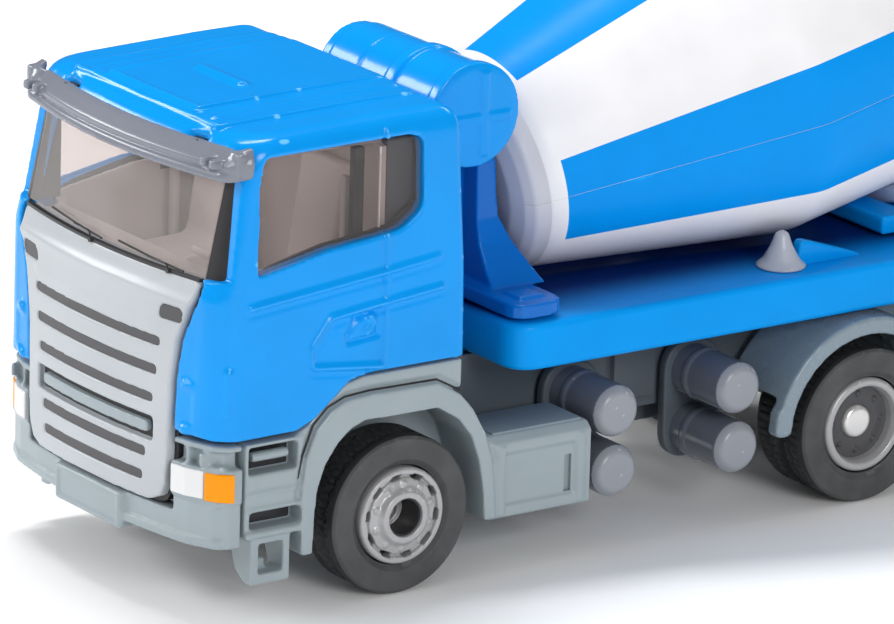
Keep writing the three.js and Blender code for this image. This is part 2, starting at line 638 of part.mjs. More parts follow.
function addSuperstructure() {
  add('mixer_deck', mixerDeck(), BLUE);
  add('drum_tower', drumTower(), BLUE);
  add('water_tank', waterTank(), BLUE);
  add('drum_cradle', drumCradle(), BLUE);
  add('loading_hopper', loadingHopper(), GREY);
  add('access_ladder', accessLadder(), GREY);
  const drum = new THREE.Group();
  drum.position.copy(DRUM_ORIGIN);
  drum.rotation.x = DRUM_TILT;
  truck.add(drum);
  add('drum_pin', drumPin(), STEEL, drum);
  add('drum_shell_upper', drumHalf(true), WHITE, drum);
  add('drum_shell_lower', drumHalf(false), WHITE, drum);
  add('drum_ring', drumRing(), WHITE, drum);
}

function addChute() {
  add('chute_pin', chutePin(), STEEL);
  add('chute_bracket', chuteBracket(), GREY);
  const trough = add('chute_trough', chuteTrough(), GREY);
  trough.position.copy(CHUTE_START);
  trough.rotation.x = CHUTE_SLOPE;
}

function addWheels() {
  const axles = [['front', 0], ['rear_1', REAR_AXLES_Y[0]], ['rear_2', REAR_AXLES_Y[1]]];
  for (const [place, y] of axles) {
    const front = place === 'front';
    const end = front ? 12.4 : 13.2;
    const set = new THREE.Group();
    set.position.set(0, y, TYRE_RADIUS);
    truck.add(set);
    add(`axle_${place}`, rod(AXLE_RADIUS, -end, end, 0, 0), STEEL, set);
    const hub = front ? frontHub() : rearHub();
    const rubber = tyre(front ? FRONT_TYRE : REAR_TYRE, !front);
    add(`hub_${place}_left`, hub, HUB, set);
    add(`hub_${place}_right`, mirrored(hub), HUB, set);
    add(`tyre_${place}_left`, rubber, RUBBER, set);
    add(`tyre_${place}_right`, mirrored(rubber), RUBBER, set);
  }
}

addCab();
addChassis();
addSuperstructure();
addChute();
addWheels();

export default truck;
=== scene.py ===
"""Looks of the toy cement mixer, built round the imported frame.

Shapes are made in millimetres in truck coordinates: x to the truck's left, y rearwards from the
front axle, z up from the ground. finish_piece() moves each one into the row frame, in metres.
"""
import math

import bmesh
import bpy
import numpy as np
from mathutils import Matrix, Vector


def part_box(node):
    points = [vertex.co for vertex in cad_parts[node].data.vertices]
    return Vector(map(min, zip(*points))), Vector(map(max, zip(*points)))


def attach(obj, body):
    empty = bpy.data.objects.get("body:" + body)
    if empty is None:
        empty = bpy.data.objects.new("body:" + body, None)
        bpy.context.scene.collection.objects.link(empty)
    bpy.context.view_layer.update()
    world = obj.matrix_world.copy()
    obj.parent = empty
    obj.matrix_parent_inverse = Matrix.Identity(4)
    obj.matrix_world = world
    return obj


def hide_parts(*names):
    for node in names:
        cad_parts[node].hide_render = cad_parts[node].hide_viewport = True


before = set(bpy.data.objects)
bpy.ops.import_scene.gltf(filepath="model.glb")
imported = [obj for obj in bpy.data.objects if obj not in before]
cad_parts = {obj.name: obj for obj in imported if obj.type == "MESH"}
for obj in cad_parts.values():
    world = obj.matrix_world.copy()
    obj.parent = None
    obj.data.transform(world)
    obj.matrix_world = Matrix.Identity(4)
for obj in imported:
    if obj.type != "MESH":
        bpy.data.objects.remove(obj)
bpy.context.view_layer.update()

MM = 0.001
axle_low, axle_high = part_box("axle_front")
AXLE_Y = (axle_low[1] + axle_high[1]) / 2
TO_ROW = Matrix.Translation((0, AXLE_Y, 0)) @ Matrix.Scale(MM, 4)
FROM_ROW = TO_ROW.inverted()

# Driving dimensions in millimetres, the same as the solids'
CAB_BOW = 0.0083
CAB_LEVELS = (  # z, front, half width, rear
    (13.0, -18.2, 14.35, 5.6), (24.6, -18.1, 14.45, 5.3), (25.9, -17.75, 14.45, 5.2),
    (30.5, -16.75, 14.3, 4.95), (34.6, -15.95, 14.15, 4.8), (35.4, -15.7, 14.05, 4.7),
    (35.9, -15.4, 13.85, 4.6), (36.25, -15.0, 13.5, 4.3), (36.45, -14.5, 13.05, 3.9),
    (36.55, -13.9, 12.4, 3.4),
)
CAB_CORNER = 2.6
CAB_REAR_CORNER = 0.75
ROOF_RISE = 0.32
ROOF_FOOT = 34.9
WHEEL_Z = 6.1
DRUM_TILT = math.radians(13.2)
DRUM_ORIGIN = Vector((0, 18.27, 27.41))
DRUM_SEAM = -6.5  # degrees round the drum, from +x
BELLY = 14.0
NECK = 6.3
BELLY_START, BELLY_END, SHOULDER_END, NECK_START = 20.8, 31.2, 33.2, 50.0  # along its axis
DRUM_MATRIX = Matrix.Translation(DRUM_ORIGIN) @ Matrix.Rotation(DRUM_TILT, 4, "X")


# ------------------------------------------------------------------ mesh helpers
def raw(vertices, faces):
    """A new object from points and faces, with every face pointing out."""
    mesh = bpy.data.meshes.new("raw")
    mesh.from_pydata([tuple(map(float, v)) for v in vertices], [], faces)
    work = bmesh.new()
    work.from_mesh(mesh)
    bmesh.ops.recalc_face_normals(work, faces=work.faces)
    work.to_mesh(mesh)
    work.free()
    obj = bpy.data.objects.new("raw", mesh)
    bpy.context.scene.collection.objects.link(obj)
    return obj


def discard(*objects):
    for obj in objects:
        mesh = obj.data
        bpy.data.objects.remove(obj)
        bpy.data.meshes.remove(mesh)


def bake(obj):
    """Applies the object's modifiers."""
    bpy.context.view_layer.update()
    graph = bpy.context.evaluated_depsgraph_get()
    mesh = bpy.data.meshes.new_from_object(obj.evaluated_get(graph))
    old = obj.data
    obj.modifiers.clear()
    obj.data = mesh
    bpy.data.meshes.remove(old)
    return obj


def boolean(target, tools, how):
    for tool in tools:
        step = target.modifiers.new("boolean", "BOOLEAN")
        step.operation = how
        step.object = tool
        step.solver = "EXACT"
    bake(target)
    discard(*tools)
    return target


def cut(target, *tools):
    return boolean(target, tools, "DIFFERENCE")


def common(target, *tools):
    return boolean(target, tools, "INTERSECT")


def join(*objects):
    """Several shapes as one mesh; overlaps stay until soften() fuses them."""
    work = bmesh.new()
    for obj in objects:
        work.from_mesh(obj.data)
    mesh = bpy.data.meshes.new("joined")
    work.to_mesh(mesh)
    work.free()
    discard(*objects)
    joined = bpy.data.objects.new("joined", mesh)
    bpy.context.scene.collection.objects.link(joined)
    return joined


def soften(obj, voxel, passes):
    """Fuses overlapping shapes and rounds every edge, as casting and paint do."""
    step = obj.modifiers.new("fuse", "REMESH")
    step.mode = "VOXEL"
    step.voxel_size = voxel
    smooth = obj.modifiers.new("smooth", "SMOOTH")
    smooth.iterations = passes
    return bake(obj)


def bevelled(obj, width, segments=3, angle=30):
    """Rounds the edges that turn by more than the angle, in degrees."""
    step = obj.modifiers.new("bevel", "BEVEL")
    step.width = width
    step.segments = segments
    step.limit_method = "ANGLE"
    step.angle_limit = math.radians(angle)
    return bake(obj)


def prism(axis, outline, low, high):
    """Outline coordinates are (y, z), (x, z) or (x, y) for a prism along x, y or z."""
    place = {"x": lambda a, b, t: (t, a, b), "y": lambda a, b, t: (a, t, b),
             "z": lambda a, b, t: (a, b, t)}[axis]
    count = len(outline)
    vertices = [place(a, b, t) for t in (low, high) for a, b in outline]
    faces = [(i, (i + 1) % count, count + (i + 1) % count, count + i) for i in range(count)]
    faces += [tuple(range(count)), tuple(range(count, 2 * count))]
    return raw(vertices, faces)


def block(x, y, z):
    """A box from its three (low, high) spans."""
    return prism("z", [(x[0], y[0]), (x[1], y[0]), (x[1], y[1]), (x[0], y[1])], *z)


def both(x, y, z):
    """A box and its mirror image on the truck's other side."""
    return join(block(x, y, z), block((-x[1], -x[0]), y, z))


def lathe(profile, segments):
    """Turns (radius, along) points about the y axis; a closed profile makes a ring."""
    closed = profile[0] == profile[-1]
    points = profile[:-1] if closed else profile
    turn = [360 * i / segments for i in range(segments)]
    vertices = []
    rings = []
    for radius, along in points:
        if radius < 1e-6:
            rings.append([len(vertices)] * segments)
            vertices.append((0, along, 0))
            continue
        rings.append(list(range(len(vertices), len(vertices) + segments)))
        vertices += [(radius * math.cos(math.radians(a)), along, radius * math.sin(math.radians(a)))
                     for a in turn]
    faces = []
    pairs = list(zip(rings, rings[1:]))
    if closed:
        pairs.append((rings[-1], rings[0]))
    for low, high in pairs:
        for i in range(segments):
            j = (i + 1) % segments
            face = list(dict.fromkeys((low[i], low[j], high[j], high[i])))
            if len(face) > 2:
                faces.append(face)
    return raw(vertices, faces)


def moved(obj, matrix):
    """Transforms the mesh itself, and keeps its faces pointing out in a mirror image."""
    obj.data.transform(matrix)
    if matrix.determinant() < 0:
        obj.data.flip_normals()
    return obj


ALONG_X = Matrix.Rotation(-math.pi / 2, 4, "Z")


def turned(profile, y, z, segments):
    """A lathe along +x, as wheels, axles and tanks lie."""
    return moved(lathe(profile, segments), Matrix.Translation((0, y, z)) @ ALONG_X)


def mirrored(obj):
    twin = bpy.data.objects.new(obj.name, obj.data.copy())
    bpy.context.scene.collection.objects.link(twin)
    return moved(twin, Matrix.Scale(-1, 4, (1, 0, 0)))


def arc(centre_a, centre_b, radius, start, stop, steps):
    """Points on a circle from one angle to another, in degrees."""
    return [(centre_a + radius * math.cos(math.radians(start + (stop - start) * i / steps)),
             centre_b + radius * math.sin(math.radians(start + (stop - start) * i / steps)))
            for i in range(steps + 1)]


def rounded(points, radius, steps=5, closed=True):
    """A polyline with its corners rounded; radius is one number or one for each point."""
    radii = radius if isinstance(radius, (list, tuple)) else [radius] * len(points)
    result = []
    for i, (point, wanted) in enumerate(zip(points, radii)):
        if wanted == 0 or (not closed and i in (0, len(points) - 1)):
            result.append(tuple(point))
            continue
        here = Vector(point)
        to_last = Vector(points[i - 1]) - here
        to_next = Vector(points[(i + 1) % len(points)]) - here
        angle = to_last.angle(to_next)
        if angle > math.radians(176):
            result.append(tuple(point))
            continue
        reach = min(wanted / math.tan(angle / 2), 0.48 * to_last.length, 0.48 * to_next.length)
        first = here + to_last.normalized() * reach
        last = here + to_next.normalized() * reach
        for k in range(steps + 1):
            t = k / steps
            spot = (1 - t) ** 2 * first + 2 * t * (1 - t) * here + t * t * last
            result.append(tuple(spot))
    return result


def rounded_box(a0, a1, b0, b1, radius, steps=6):
    return rounded([(a0, b0), (a1, b0), (a1, b1), (a0, b1)], radius, steps)


def rod(radius, x0, x1, y, z, edge):
    """A round bar along x with rounded ends."""
    profile = rounded([(0, x0), (radius, x0), (radius, x1), (0, x1)], [0, edge, edge, 0],
                      closed=False)
    return turned(profile, y, z, 48)


def wire(points, radius, sides=10):
    """A round bar through a list of points, closed at both ends."""
    route = [Vector(p) for p in points]
    vertices = []
    for i, spot in enumerate(route):
        ahead = (route[min(i + 1, len(route) - 1)] - route[max(i - 1, 0)]).normalized()
        side = ahead.orthogonal().normalized() if i == 0 else (side - ahead * side.dot(ahead)).normalized()
        up = ahead.cross(side)
        vertices += [spot + radius * (side * math.cos(2 * math.pi * k / sides)
                                      + up * math.sin(2 * math.pi * k / sides)) for k in range(sides)]
    faces = []
    for i in range(len(route) - 1):
        for k in range(sides):
            a, b = i * sides + k, i * sides + (k + 1) % sides
            faces.append((a, b, b + sides, a + sides))
    faces += [tuple(range(sides)), tuple(range((len(route) - 1) * sides, len(route) * sides))]
    return raw(vertices, faces)


def copy_node(node):
    """A CAD node's shape in millimetres, as the start of a finer piece."""
    obj = bpy.data.objects.new(node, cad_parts[node].data.copy())
    bpy.context.scene.collection.objects.link(obj)
    obj.data.materials.clear()
    work = bmesh.new()
    work.from_mesh(obj.data)
    bmesh.ops.remove_doubles(work, verts=work.verts, dist=1e-7)
    work.to_mesh(obj.data)
    work.free()
    return moved(obj, FROM_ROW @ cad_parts[node].matrix_world)


def ridges(obj, lines, height, sigma, where=None):
    """Raises (or sinks, for a negative height) the surface along 3-D polylines on both sides."""
    mesh = obj.data
    count = len(mesh.vertices)
    spots = np.empty(count * 3)
    normals = np.empty(count * 3)
    mesh.vertices.foreach_get("co", spots)
    mesh.vertices.foreach_get("normal", normals)
    spots = spots.reshape(-1, 3)
    normals = normals.reshape(-1, 3)
    folded = spots * np.array((0, 1, 1)) + np.abs(spots) * np.array((1, 0, 0))
    nearest = np.full(count, 1e9)
    for line in lines:
        for start, end in zip(line, line[1:]):
            start, end = np.array(start, float), np.array(end, float)
            along = end - start
            t = np.clip((folded - start) @ along / (along @ along), 0, 1)
            gap = folded - (start + t[:, None] * along)
            nearest = np.minimum(nearest, np.sqrt((gap ** 2).sum(axis=1)))
    lift = height * np.exp(-0.5 * (nearest / sigma) ** 2)
    if where is not None:
        lift *= where(folded, normals)
    mesh.vertices.foreach_set("co", (spots + normals * lift[:, None]).ravel())
    mesh.update()


# ------------------------------------------------------------------ materials
class Nodes:
    """A small helper for building the node tree of a material or a world."""

    def __init__(self, owner):
        owner.use_nodes = True
        self.owner = owner
        self.tree = owner.node_tree
        self.surface = self.tree.nodes.get("Principled BSDF")
        if self.surface:
            self.where = self.add("ShaderNodeTexCoord").outputs["Object"]

    def add(self, kind, **settings):
        node = self.tree.nodes.new(kind)
        for key, value in settings.items():
            setattr(node, key, value)
        return node

    def feed(self, socket, value):
        """Links an output to the socket, or sets the socket to a colour or a number."""
        if isinstance(value, bpy.types.NodeSocket):
            self.tree.links.new(value, socket)
        else:
            socket.default_value = (*value, 1) if isinstance(value, tuple) else value

    def noise(self, scale, detail):
        node = self.add("ShaderNodeTexNoise")
        node.inputs["Scale"].default_value = scale
        node.inputs["Detail"].default_value = detail
        node.inputs["Roughness"].default_value = 0.55
        self.feed(node.inputs["Vector"], self.where)
        return node.outputs["Fac"]

    def spread(self, value, low, high, from_low=0.3, from_high=0.7, curve="LINEAR"):
        """Maps the range from_low to from_high onto low to high."""
        node = self.add("ShaderNodeMapRange", interpolation_type=curve)
        for socket, number in zip(("From Min", "From Max", "To Min", "To Max"),
                                  (from_low, from_high, low, high)):
            node.inputs[socket].default_value = number
        self.feed(node.inputs["Value"], value)
        return node.outputs["Result"]

    def calc(self, operation, *values, clamp=False):
        node = self.add("ShaderNodeMath", operation=operation, use_clamp=clamp)
        for socket, value in zip(node.inputs, values):
            self.feed(socket, value)
        return node.outputs["Value"]

    def mix(self, factor, first, second):
        node = self.add("ShaderNodeMix", data_type="RGBA")
        colours = [s for s in node.inputs if s.type == "RGBA"]
        for socket, value in zip(colours, (first, second)):
            self.feed(socket, value)
        self.feed(node.inputs["Factor"], factor)
        return [s for s in node.outputs if s.type == "RGBA"][0]

    def layers(self, factor, under, over):
        """Shows one shader over another, by factor."""
        node = self.add("ShaderNodeMixShader")
        for socket, value in zip(node.inputs, (factor, under, over)):
            self.feed(socket, value)
        return node.outputs["Shader"]

    def bump(self, heights, strength, distance):
        node = self.add("ShaderNodeBump")
        node.inputs["Strength"].default_value = strength
        node.inputs["Distance"].default_value = distance
        self.feed(node.inputs["Height"], heights)
        self.feed(self.surface.inputs["Normal"], node.outputs["Normal"])

    def finish(self, **sockets):
        """Feeds the surface's sockets, which are named with underscores for spaces."""
        for name, value in sockets.items():
            self.feed(self.surface.inputs[name.replace("_", " ")], value)
        return self.owner


def shade(colour, factor):
    return tuple(min(1.0, c * factor) for c in colour)


def moulded(name, colour, roughness, specular, edge_highlight=None, grain=0.05, coat=0.0, speck=900,
            metallic=0.0, highlight_from=0.56, middle=None):
    """Painted or moulded surface: slight mottling, uneven gloss and fine grain, with painted highlights on
    its edges and painted shade in its hollows.
    """
    n = Nodes(bpy.data.materials.new(name))
    tone = n.mix(n.spread(n.noise(140, 3), 0, 1), shade(colour, 0.96), shade(colour, 1.04))
    edge = n.add("ShaderNodeNewGeometry").outputs["Pointiness"]
    # Painted highlight: convex edges, found by pointiness, turn lighter, standing in for glints along
    # ridges.
    lit_edges = n.mix(n.spread(edge, 0, 0.7, highlight_from, highlight_from + 0.1), tone, edge_highlight or shade(colour, 1.25))
    # Painted shade: hollows and creases, found by pointiness, turn darker.
    surface = n.mix(n.spread(edge, 0.5, 0, 0.30, 0.43), lit_edges, shade(colour, 0.5))
    # Painted shadow of the drum, for the deck's top.
    if middle:
        surface = shade_under_drum(n, surface, *middle)
    n.bump(n.noise(speck * 4, 5), grain, 0.000006)
    return n.finish(Base_Color=surface, Specular_IOR_Level=specular, Metallic=metallic,
                    Roughness=n.spread(n.noise(speck, 3), roughness * 0.92, roughness * 1.08),
                    Coat_Weight=coat, Coat_Roughness=0.06)


def shade_under_drum(n, plain, colour, near, far):
    """Paints shade on upward faces near the truck's centre line: a painted shadow of the drum."""
    place, facing = (n.add("ShaderNodeSeparateXYZ") for _ in range(2))
    n.feed(place.inputs["Vector"], n.where)
    n.feed(facing.inputs["Vector"], n.add("ShaderNodeNewGeometry").outputs["Normal"])
    distance = n.calc("ABSOLUTE", place.outputs["X"])
    fade = n.spread(distance, 1.0, 0.0, near, far, "SMOOTHSTEP")
    return n.mix(n.calc("MULTIPLY", fade, facing.outputs["Z"], clamp=True), plain, colour)


def rubber(name, low, high, roughness):
    """Uneven black rubber, dusty along its edges, with painted shade in its grooves."""
    n = Nodes(bpy.data.materials.new(name))
    tone = n.mix(n.spread(n.noise(500, 5), 0, 1), low, high)
    edge = n.add("ShaderNodeNewGeometry").outputs["Pointiness"]
    dusty = n.mix(n.spread(edge, 0, 0.4, 0.6, 0.75), tone, shade(high, 2.2))
    n.bump(n.noise(6000, 4), 0.2, 0.00001)
    # Painted shade: grooves, found by pointiness, turn darker.
    return n.finish(Base_Color=n.mix(n.spread(edge, 0.7, 0, 0.34, 0.46), dusty, shade(low, 0.25)),
                    Roughness=n.spread(n.noise(1500, 3), roughness * 0.9, roughness * 1.1),
                    Specular_IOR_Level=0.35)


def clear_moulding(name, tint, milkiness):
    """Faintly tinted clear moulding: light passes, and only its outer faces shine."""
    n = Nodes(bpy.data.materials.new(name))
    outside = n.calc("SUBTRACT", 1.0, n.add("ShaderNodeNewGeometry").outputs["Backfacing"])
    clear = n.add("ShaderNodeBsdfTransparent")
    n.feed(clear.inputs["Color"], tint)
    haze = n.add("ShaderNodeBsdfDiffuse")
    n.feed(haze.inputs["Color"], n.mix(n.noise(150, 2), (0.58, 0.54, 0.53), (0.66, 0.62, 0.61)))
    gloss = n.add("ShaderNodeBsdfGlossy")
    n.feed(gloss.inputs["Roughness"], n.spread(n.noise(900, 2), 0.05, 0.06))
    rim = n.add("ShaderNodeFresnel")
    rim.inputs["IOR"].default_value = 1.35
    milky = n.layers(n.calc("MULTIPLY", outside, milkiness), clear.outputs["BSDF"], haze.outputs["BSDF"])
    shiny = n.layers(n.calc("MULTIPLY", outside, rim.outputs["Fac"]), milky, gloss.outputs["BSDF"])
    n.tree.nodes.remove(n.surface)
    n.feed(n.tree.nodes["Material Output"].inputs["Surface"], shiny)
    return n.owner


BLUE = (0.001, 0.285, 0.78)
PAINT_BLUE = moulded("paint_blue", BLUE, 0.17, 0.25, edge_highlight=(0.20, 0.60, 0.97), grain=0.04,
                     highlight_from=0.535)
DECK_BLUE = moulded("deck_blue", (0.001, 0.285, 0.77), 0.2, 0.1, edge_highlight=(0.1, 0.52, 0.95))
# The deck's top carries a painted shadow under the drum.
DECK_TOP = moulded("deck_top", (0.001, 0.285, 0.77), 0.3, 0.08, edge_highlight=(0.1, 0.52, 0.95),
                   middle=((0.0005, 0.02, 0.16), 0.006, 0.0125))  # colour, near and far in metres
# The tower is the deck's blue plastic painted darker: painted shade under the tank.
TOWER_SHADED_BLUE = moulded("tower_shaded_blue", (0.001, 0.13, 0.50), 0.2, 0.25, edge_highlight=(0.05, 0.40, 0.88))
# The drum's white plastic painted grey on its head: painted shade.
DRUM_HEAD_SHADE = moulded("drum_head_shade", (0.50, 0.51, 0.57), 0.35, 0.2, edge_highlight=(0.8, 0.8, 0.83))
DRUM_BLUE = moulded("drum_blue", (0.001, 0.27, 0.76), 0.3, 0.08, edge_highlight=(0.01, 0.36, 0.9), grain=0.03)
DRUM_WHITE = moulded("drum_white", (0.80, 0.79, 0.81), 0.35, 0.2, edge_highlight=(0.86, 0.86, 0.88), grain=0.05)
CHASSIS_GREY = moulded("chassis_grey", (0.29, 0.345, 0.37), 0.33, 0.45, edge_highlight=(0.55, 0.60, 0.63),
                       grain=0.1, speck=700)
# Painted shade: the grey chassis plastic painted dark where it lies under the deck and behind parts.
CHASSIS_SHADE = moulded("chassis_shade", (0.075, 0.09, 0.105), 0.4, 0.3, grain=0.1)
# Painted shade on the locker's top under the deck.
LID_SHADE = moulded("lid_shade", (0.10, 0.135, 0.165), 0.35, 0.35, edge_highlight=(0.3, 0.36, 0.4), grain=0.1)
FENDER_GREY = moulded("fender_grey", (0.21, 0.27, 0.315), 0.27, 0.5, edge_highlight=(0.42, 0.48, 0.52), grain=0.1)
# Painted light: one tank plastic, darker on the shaded bodies and lighter on the lit ends.
TANK_SHADED = moulded("tank_shaded", (0.13, 0.14, 0.17), 0.22, 0.6, edge_highlight=(0.34, 0.34, 0.38))
TANK_END_LIT = moulded("tank_end_lit", (0.26, 0.275, 0.31), 0.3, 0.5, edge_highlight=(0.5, 0.5, 0.54))
GRILLE_SILVER = moulded("grille_silver", (0.43, 0.46, 0.485), 0.3, 0.4, edge_highlight=(0.78, 0.80, 0.82))
VISOR_GREY = moulded("visor_grey", (0.185, 0.20, 0.24), 0.24, 0.5, edge_highlight=(0.50, 0.53, 0.58))
HUB_SILVER = moulded("hub_silver", (0.40, 0.40, 0.405), 0.32, 0.5, edge_highlight=(0.72, 0.72, 0.72), grain=0.6,
                     speck=500, metallic=0.3)
AXLE_STEEL = moulded("axle_steel", (0.78, 0.77, 0.75), 0.3, 0.5, grain=0.15, metallic=0.6)
SLOT_DARK = moulded("slot_dark", (0.075, 0.075, 0.08), 0.45, 0.3)
CABIN_DARK = moulded("cabin_dark", (0.022, 0.022, 0.025), 0.4, 0.4, grain=0.15)
CABIN_PALE = moulded("cabin_pale", (0.52, 0.475, 0.46), 0.5, 0.3, grain=0.1)
NOSE_GREY = moulded("nose_grey", (0.40, 0.42, 0.47), 0.3, 0.4)
# The headlamps' white print, also used for the painted highlight of the door seam behind the side glass.
LAMP_AND_HIGHLIGHT_WHITE = moulded("lamp_and_highlight_white", (0.70, 0.70, 0.71), 0.25, 0.4, coat=0.2)
LAMP_ORANGE = moulded("lamp_orange", (0.92, 0.29, 0.001), 0.25, 0.2)
LAMP_RED = moulded("lamp_red", (0.55, 0.012, 0.01), 0.25, 0.4, coat=0.2)
SIDEWALL = rubber("sidewall_rubber", (0.055, 0.056, 0.058), (0.08, 0.082, 0.085), 0.55)
TREAD = rubber("tread_rubber", (0.016, 0.017, 0.018), (0.03, 0.031, 0.033), 0.6)
SCREEN_GLASS = clear_moulding("screen_glass", (0.94, 0.91, 0.90), 0.24)
SIDE_GLASS = clear_moulding("side_glass", (0.86, 0.82, 0.81), 0.05)


def finish_piece(obj, name, materials, slot, *nodes, body="truck", sharp=35):
    """Names a finished shape, moves it into the row frame and ties it to the frame."""
    obj.name = name
    obj.data.name = name
    for material in materials if isinstance(materials, tuple) else (materials,):
        obj.data.materials.append(material)
    moved(obj, TO_ROW)
    obj.data.shade_smooth()
    if sharp:
        obj.data.set_sharp_from_angle(angle=math.radians(sharp))
    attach(obj, body)
    if nodes:
        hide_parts(*nodes)


def finish_pair(obj, name, materials, slot, *nodes, body="truck", sharp=35):
    """The left piece and its mirror image; nodes are named without their _left or _right."""
    twin = mirrored(obj)
    for side, piece in (("left", obj), ("right", twin)):
        finish_piece(piece, f"{name}_{side}", materials, slot,
                     *(f"{node}_{side}" for node in nodes), body=body, sharp=sharp)


# ------------------------------------------------------------------ cab
def roof_notch_shade():
    """Two dark plates in the pockets behind the visor: painted shade."""
    return bevelled(both((7.8, 9.0), (-15.2, -14.3), (35.1, 35.72)), 0.1)


def level_at(z):
    """The cab's front, half width and rear at a height, straight between the levels."""
    heights = [row[0] for row in CAB_LEVELS]
    return [float(np.interp(z, heights, [row[k] for row in CAB_LEVELS])) for k in (1, 2, 3)]


def smooth_level(z):
    """The same, averaged over a short height so that the levels don't show as creases."""
    window = np.linspace(-0.15, 0.15, 5)
    rows = np.array([level_at(min(z + w, CAB_LEVELS[-1][0])) for w in window])
    return rows.mean(axis=0)


def cab_ring(z, inset):
    """The cab's outline at one height, as points round it."""
    front, half, rear = smooth_level(z)
    half -= inset
    flat = half - CAB_CORNER
    back = rear - inset - CAB_REAR_CORNER
    side = [(x, front + inset + CAB_BOW * x * x) for x in np.linspace(0, flat, 16)]
    corner_y = side[-1][1] + CAB_CORNER
    side += arc(flat, corner_y, CAB_CORNER, -78, 0, 12)
    side += [(half, y) for y in np.linspace(corner_y, back, 14)[1:-1]]
    side += arc(half - CAB_REAR_CORNER, back, CAB_REAR_CORNER, 0, 90, 8)
    other = [(-x, y) for x, y in reversed(side[1:])]
    return [(x, y, z) for x, y in side + other]


def cab_skin(inset, bottom):
    """The cab's closed outer form, or one that lies deeper by the inset."""
    top = CAB_LEVELS[-1][0]
    heights = list(np.linspace(bottom, 33.5, 42)) + list(np.linspace(33.9, top, 26))
    rings = [cab_ring(z, inset) for z in heights]
    rings = [[(x, y, z if inset == 0 else min(z, top) - inset * max(0, (z - 30) / (top - 30)))
              for x, y, z in ring] for ring in rings]
    count = len(rings[0])
    faces = []
    for level in range(len(rings) - 1):
        for i in range(count):
            a, b = level * count + i, level * count + (i + 1) % count
            faces.append((a, b, b + count, a + count))
    faces += [tuple(range(count)), tuple(range((len(rings) - 1) * count, len(rings) * count))]
    return raw([v for ring in rings for v in ring], faces)


CAB_SILL = [(6.5, 17.65), (-3.0, 17.65), (-4.9, 17.3), (-6.2, 16.25), (-8.0, 14.8), (-9.6, 14.15),
            (-14.5, 14.1), (-20, 14.5)]
SIDE_WINDOW = [(-13.3, 26.4), (-9.5, 27.1), (-6.9, 27.6), (-3.0, 27.95), (-0.6, 28.25),
               (1.3, 29.6), (1.3, 34.9), (0.0, 35.2), (-12.6, 35.15), (-13.05, 33.3)]
SIDE_WINDOW_ROUNDING = [0.25, 2, 2, 2, 2.2, 1.6, 0.9, 0.5, 0.7, 1.5]
SCREEN_PANE = [(-22, 26.25), (-15.45, 26.25), (-14.2, 34.5), (-22, 34.5)]
SCREEN_DEPTH = [(-22, 26.15), (-13.4, 26.15), (-13.0, 34.6), (-22, 34.6)]
PILLAR_FACE = 11.75
SCREEN_OPENING = [(-22, 26.15), (-15.35, 26.15), (-14.08, 34.6), (-22, 34.6)]
GRILLE_SIDE = [(7.4, 8.4), (8.6, 8.9), (9.1, 10), (9.3, 12.2), (9.35, 14.5), (9.5, 18),
               (10.0, 21.2), (11.0, 23.6), (11.5, 24.6), (11.7, 25.75), (11.2, 26.0)]


def grille_outline(margin):
    """The panel's outline in x and z, larger by a margin at its sides, top and foot."""
    side = [(x + (margin if x > 8.8 else 0), z + margin * ((z > 25.9) - (z < 9)))
            for x, z in GRILLE_SIDE]
    return rounded(side + [(-x, z) for x, z in reversed(side)], 0.5, 4)


def roof_panels():
    """The stepped pressings on the roof and its small hatch, one on the other."""
    def panel(half, front, rear, low, high, slope):
        lower = rounded_box(-half, half, front, rear, 1.0)
        upper = rounded_box(slope - half, half - slope, front + 1.6 * slope, rear - slope * 0.4, 0.8)
        count = len(lower)
        vertices = [(x, y, low) for x, y in lower] + [(x, y, high) for x, y in upper]
        faces = [(i, (i + 1) % count, count + (i + 1) % count, count + i) for i in range(count)]
        faces += [tuple(range(count)), tuple(range(count, 2 * count))]
        return raw(vertices, faces)
    return [panel(9.8, -14.3, 3.6, 36.0, 36.75, 0.2), panel(8.0, -14.0, 3.4, 36.3, 36.92, 0.2),
            panel(6.4, -14.1, 3.3, 36.1, 37.12, 0.45), panel(3.1, -7.75, -6.85, 36.8, 37.42, 0.12)]


def raise_roof(obj):
    """Lets the roof climb gently towards the drum."""
    for vertex in obj.data.vertices:
        along = min(1.0, max(0.0, (vertex.co.y + 15) / 14))
        vertex.co.z += ROOF_RISE * along * min(1.0, max(0.0, (vertex.co.z - ROOF_FOOT) / 1.5))
    obj.data.update()


def cab_body():
    """The painted cab: a hollow skin with its openings cut and its pressings raised."""
    shell = join(cab_skin(0, 13.0), *roof_panels())
    soften(shell, 0.22, 0)
    under = prism("x", CAB_SILL + [(-20, 10), (6.5, 10)], -20, 20)
    window = prism("x", rounded(SIDE_WINDOW, SIDE_WINDOW_ROUNDING, 6), -20, 20)
    screen = prism("x", SCREEN_OPENING, -20, 20)
    behind_screen = prism("x", SCREEN_DEPTH, -PILLAR_FACE, PILLAR_FACE)
    cut(shell, cab_skin(1.25, 11), under, window, screen, behind_screen,
        prism("y", grille_outline(0.45), -22, -13.5))
    soften(shell, 0.15, 2)
    add_cab_creases(shell)
    raise_roof(shell)
    return shell


def on_side(folded, normals):
    return (np.abs(normals[:, 0]) > 0.6) & (folded[:, 0] > 12.9)


